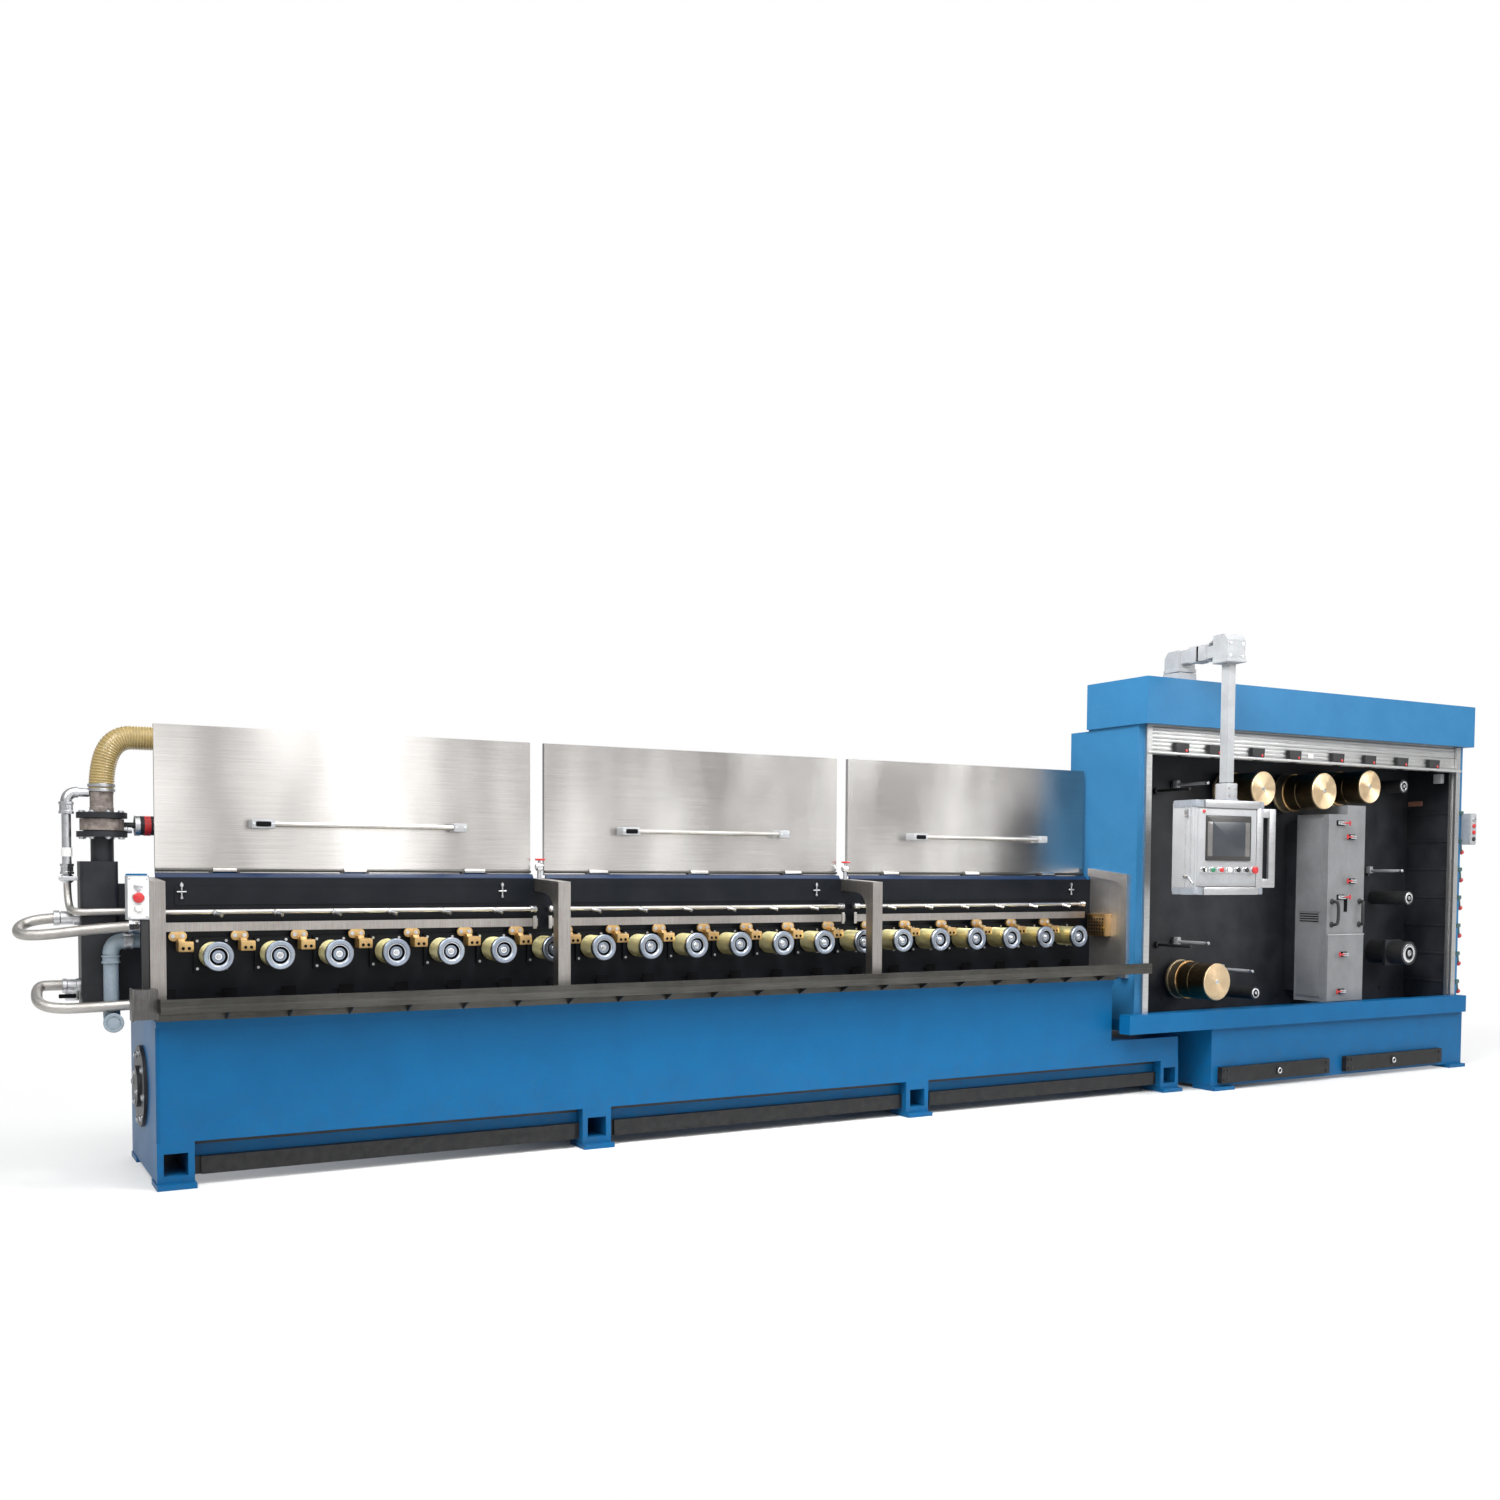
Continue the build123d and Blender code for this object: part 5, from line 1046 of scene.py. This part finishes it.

# %% [markdown]
# The rest of the cabinet: rollers with bright hub rings, guide rods in light grey paint that stands in for the bright
# reflection of their bare metal, on small root brackets, levers with red balls and a button box on the right jamb,
# bolts along the black back plate, and black plates on the inner sides, which the photograph shows as dark as the back:
# painted shade of the cabinet's inside.

# %% Cabinet fittings
LEVER_GREEN = flat_finish("lever_green", (0.03, 0.085, 0.085, 1), 0.35)
COPPER = flat_finish("copper_plate", (0.45, 0.22, 0.15, 1), 0.35, 0.6)
cabinet = Form()
for x, z, r in ((5850, 505, 36), (7190, 1037, 42), (7205, 700, 72), (7115, 1715, 40)):
    cabinet.turned(CHROME, (x, 60, z), (0, -1, 0), [(-2, r * 0.5), (3, r * 0.52), (4, r * 0.6), (4, r * 0.74),
                                                   (2, r * 0.8), (-2, r * 0.82)], 36, looped=True)
    cabinet.turned(ZINC, (x, 60, z), (0, -1, 0), [(-1, r * 0.26), (5, r * 0.26), (7, r * 0.2), (7, 0)], 24)
# The guide rods are light grey paint that stands in for the bright reflection of their bare metal.
for x, z in ((5437, 1677), (5465, 795), (5822, 630), (7120, 1203)):
    cabinet.rod(GREY, (x, 60, z), (x, 300, z), 9, 20)
    cabinet.turned(ZINC, (x, 62, z), (0, -1, 0), [(-12, 10.5), (2, 10.5), (6, 8), (6, 0)], 20)
    cabinet.block(GREY, (x - 14, x + 14), (268, 300), (z - 16, z + 26), 4)
    cabinet.turned(BLACK, (x, 296, z), (0, 1, 0), [(0, 24), (2, 26), (14.5, 26)], 24)
# Black plates on the inner sides paint the shade inside the cabinet, as dark as the back.
cabinet.block(BLACK, (7512, 7517), (11, 311), (401, 1956), 1)
cabinet.block(BLACK, (4873, 4878), (11, 311), (401, 1956), 1)
cabinet.block(GREY, (7440, 7474), (40, 90), (1742, 1800), 3)
cabinet.plate(BLACK, "y", rounded((7126, 7284), (621, 779), 8), 165, 185, 2)
lever_heights = [1560 - 173 * k for k in range(7)]
for z in lever_heights:
    cabinet.block(BLACK, (7505, 7513), (20, 308), (z - 8, z + 8), 2)
cabinet.plate(GREY, "y", rounded((7562, 7616), (1369, 1553), 5), -84, -79, 1)
for z, paint in ((1520, ZINC), (1480, RED), (1440, RED), (1400, RUBBER)):
    cabinet.turned(paint, (7589, -83, z), (0, -1, 0), [(0, 13), (4, 13), (9, 11), (10, 0)], 24)
cabinet.block(COPPER, (7502, 7513), (206, 300), (1611, 1641), 3)
keep("cabinet_fittings", cabinet.to_mesh("cabinet_fittings"))
levers = Form()
levers.block(WARM_GREY, (7560, 7618), (-80, -18), (1366, 1556), 4)
ball = [(-15.5 * math.cos(math.pi * j / 12), 15.5 * math.sin(math.pi * j / 12)) for j in range(13)]
for z in lever_heights:
    levers.block(LEVER_GREEN, (7534, 7572), (-30, 34), (z - 12, z + 12), 4)
    levers.turned(ZINC, (7566, 20, z), (1, 0, 0), [(0, 14), (6, 14), (10, 10), (10, 0)], 24)
    levers.rod(LEVER_GREEN, (7552, -26, z), (7628, 18, z - 62), 6, 16)
    levers.turned(RED, (7632, 20, z - 66), (0, 0, 1), ball, 24)
keep("dressed_levers", levers.to_mesh("dressed_levers"), replaces=["hand_levers"])
edge_bolts = [(x, 310, z) for x in range(5000, 7500, 190) for z in (470, 1880)]
bolts("back_plate_bolts", edge_bolts, (0, -1, 0), 8, 6, 12, BLACK)

# %% [markdown]
# Each lid has a tubular handle between two cast blocks; the left block has a finger recess. A folded hem
# closes the gap over the hinge pin. Handles and hems ride on their lids, so they are pieces of one design.

# %% Lid handles
LIDS = ((47, 1584), (1649, 3186), (3251, 4800))
for number, (x0, x1) in enumerate(LIDS, 1):
    left = (x0 + x1 - 880) / 2 + 20
    handle = Form()
    handle.rod(STAINLESS, (left + 40, 293, 1356), (left + 850, 293, 1356), 10, 24)
    handle.block(GREY, (left, left + 90), (276, 346), (1338, 1374), 6)
    handle.block(GREY, (left + 822, left + 880), (276, 346), (1338, 1374), 6)
    handle.plate(SHADOW, "y", rounded((left + 16, left + 74), (1346, 1366), 5), 274.8, 278, 0.6)
    for x in (left + 8, left + 82, left + 832, left + 870):
        handle.turned(ZINC, (x, 276.5, 1356), (0, -1, 0), [(0, 5), (1.5, 5), (2, 4), (2, 0)], 16)
    name = f"lid_{number}_handle"
    keep(f"dressed_handle_{number}", handle.to_mesh(name), f"lid_{number}", [name])
    hem = Form()
    hem.plate(LID_STEEL, "x", [(349.5, 1160), (352, 1158), (364, 1158), (364, 1187), (349.5, 1187)], x0, x1, 1)
    keep(f"lid_hem_{number}", hem.to_mesh(f"lid_hem_{number}"), f"lid_{number}")
print("handles:", len(LIDS))

# %% [markdown]
# In the chamber, clamp screws hang under the lids, small ball valves with red levers stand on the posts,
# and the spray pipe is held by collars. A dark blue strip lies on the wall under the hinges, a row of drain
# slots painted in shade at its foot, and a thin dark plate paints the shade under the gutter's lip. A black
# strip in each of the base's recesses paints the shadow gap under its edge, and the plinth's trays have ring pulls.

# %% Chamber and base fittings
chamber = Form()
for x in (136, 1438, 3042, 4677):
    chamber.block(ZINC, (x - 6, x + 6), (294, 311), (1110, 1122), 2)
    chamber.rod(ZINC, (x, 298, 1126), (x, 298, 1066), 3.5, 12)
    chamber.rod(ZINC, (x - 18, 298, 1090), (x + 18, 298, 1090), 3.5, 12)
    chamber.turned(ZINC, (x, 298, 1072), (0, 0, -1), [(0, 3.5), (2, 6), (9, 6), (11, 4), (11, 0)], 16)
for x in (1616, 3218):
    chamber.rod(ZINC, (x - 6, 306, 1140), (x - 6, 306, 1184), 9, 16)
    chamber.turned(CHROME, (x - 22, 306, 1194), (1, 0, 0), [(0, 12), (6, 17), (26, 17), (32, 12)], 24)
    chamber.rod(ZINC, (x - 6, 306, 1206), (x - 6, 306, 1222), 6, 12)
    chamber.block(RED, (x - 24, x + 20), (299, 313), (1222, 1231), 3)
for x in (60, 1572, 1662, 3174, 3264, 4740):
    chamber.turned(ZINC, (x - 14, 285, 1012), (1, 0, 0), [(0, 12), (0, 16), (9, 16), (10, 14), (18, 14), (19, 16), (28, 16),
                                                          (28, 12)], 24)
    chamber.block(ZINC, (x - 8, x + 8), (285, 311), (1004, 1020), 2)
for x in (1578, 3180):
    for shift in (0, 72):
        chamber.block(STAINLESS, (x - 12 + shift, x + 4 + shift), (265, 271), (928, 983), 2)
for n in (*range(0, 6), *range(7, 13), *range(14, 20)):
    x = CAPSTAN_FIRST + n * CAPSTAN_PITCH
    chamber.turned(ZINC, (x, 285, 1012), (32, -36, -12), [(9, 7), (9, 10), (18, 10), (20, 7.4), (44, 7.4), (46, 8.4),
                                                          (50, 8.4), (50, 4)], 18)
DEEP_BLUE = enamel("deep_blue", (0.006, 0.020, 0.060, 1), (0.005, 0.014, 0.042, 1), (0.25, 0.4))
# Dark steel for the lid hinges, also used to paint the shade under the gutter's lip.
HINGE_STEEL_AND_SHADE = steel("dark_fold", (0.10, 0.098, 0.09, 1), (0.065, 0.063, 0.057, 1), (2.0, 120.0, 120.0), (0.42, 0.6))
for x in LIDS:
    chamber.plate(DEEP_BLUE, "x", [(314, 1143), (331, 1143), (331, 1163), (326, 1161), (314, 1147)], x[0] - 3, x[1] + 3, 1)
# A thin dark plate before the gutter's lower band paints the shade under its lip.
chamber.block(HINGE_STEEL_AND_SHADE, (4.5, 4887), (-86.5, -84), (655.5, 684), 0.6)
# Black strips under the base's edge in each recess paint the shadow gap there.
for x in ((132, 1695), (1827, 3390), (3522, 5085)):
    chamber.block(RUBBER, (x[0] + 1, x[1] - 1), (80, 91), (150, 169.5), 3)
keep("chamber_fittings", chamber.to_mesh("chamber_fittings"))
drain = Form()
drain.plate(SHADOW, "y", rounded((51, 111), (640, 714), 3), 308.6, 310.5, 0.5)
keep("wall_drains", grown(drain.to_mesh("drain"), equal_row, Count=21, Step=step, Finish=SHADOW))
pulls = Form()
for x in (5878, 6870):
    pulls.plate(SCUFFED_BLACK, "y", rounded((x - 22, x + 22), (62, 106), 6), -94, -89, 1)
    pulls.turned(ZINC, (x, -96, 83), (0, 1, 0), [(-3, 13), (0, 10), (3, 13), (0, 17)], 28, looped=True)
keep("tray_pulls", pulls.to_mesh("tray_pulls"))
bolts("tray_bolts", [(x + dx, -90, z) for x in (5421, 6447) for dx in (22, 48, 858) for z in (58, 106)], (0, -1, 0), 7, 5, 11,
      BLACK)
print("fittings done")

# %% [markdown]
# Each solid that keeps its own shape gets its finish by name. The CAD meshes stay as they are: only
# their material slots change.

# %% Paint the solids
paint_plan = {
    BLUE: ["base_body", "machine_feet", "gear_housing", "cabinet_plinth", "cabinet_sill"],
    LIT_CABINET_BLUE: ["cabinet_side_walls", "cabinet_hood", "cabinet_rear_housing"],
    WALL_BLACK: ["chamber_wall"],
    BLACK: ["cabinet_back_plate", "coolant_stack", "end_flange"],
    SCUFFED_BLACK: ["kick_bars"],
    RUBBER: ["guide_rollers"],
    GUTTER_STEEL: ["gutter"],
    STAINLESS: ["spray_pipe"],
    HINGE_STEEL_AND_SHADE: ["lid_hinges"],
    POST_STEEL: ["arch_posts", "die_rail"],
    END_STEEL: ["right_end_plate"],
    LID_STEEL: ["lid_1", "lid_2", "lid_3"],
    DULL_BRASS: ["die_holders"],
    BRASS: ["brass_drum_1", "brass_drum_2", "brass_drum_3", "brass_drum_4"]
           + [f"draw_capstan_{n:02d}" for n in range(1, 21)],
    GREY: ["lid_1_handle", "lid_2_handle", "lid_3_handle", "console_arm", "console_box", "jib_foot", "button_station"],
    COLUMN_GREY: ["annealing_column"],
    ALUMINIUM: ["roller_shutter"],
    LEVER_GREEN: ["hand_levers"],
    ZINC: ["coolant_hoses", "suction_hose"],
}
painted = 0
for material, nodes in paint_plan.items():
    for node in nodes:
        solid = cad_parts[node]
        solid.data.materials.clear()
        solid.data.materials.append(material)
        painted += 1
print("painted solids:", painted, "of", len(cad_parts))

# %% [markdown]
# The studio floor is pale and a little uneven. Far from the machine it fades into the backdrop's own
# white, so that no horizon shows.

# %% Studio floor
pale = flat_finish("pale_floor", (0.80, 0.80, 0.79, 1), 0.55, spread=0.97)
tree = pale.node_tree
narrowed = tree.nodes.new("ShaderNodeVectorMath")
narrowed.operation = "MULTIPLY"
narrowed.inputs[1].default_value = (0.5, 1.0, 1.0)
distance = tree.nodes.new("ShaderNodeVectorMath")
distance.operation = "LENGTH"
tree.links.new(tree.nodes.new("ShaderNodeTexCoord").outputs["Object"], narrowed.inputs[0])
tree.links.new(narrowed.outputs["Vector"], distance.inputs[0])
glow = tree.nodes.new("ShaderNodeEmission")
glow.inputs["Color"].default_value = (1, 1, 1, 1)
fade = tree.nodes.new("ShaderNodeMixShader")
tree.links.new(sharpen(tree, distance.outputs["Value"], 0.9, 3.6), fade.inputs["Fac"])
tree.links.new(tree.nodes["Principled BSDF"].outputs[0], fade.inputs[1])
tree.links.new(glow.outputs[0], fade.inputs[2])
tree.links.new(fade.outputs[0], tree.nodes["Material Output"].inputs["Surface"])
floor_mesh.materials.append(pale)
print("floor fades to white round the machine")

# %% [markdown]
# The box round everything that is shown, the floor left out, is taken from the dressed machine.

# %% Finish
low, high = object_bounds()
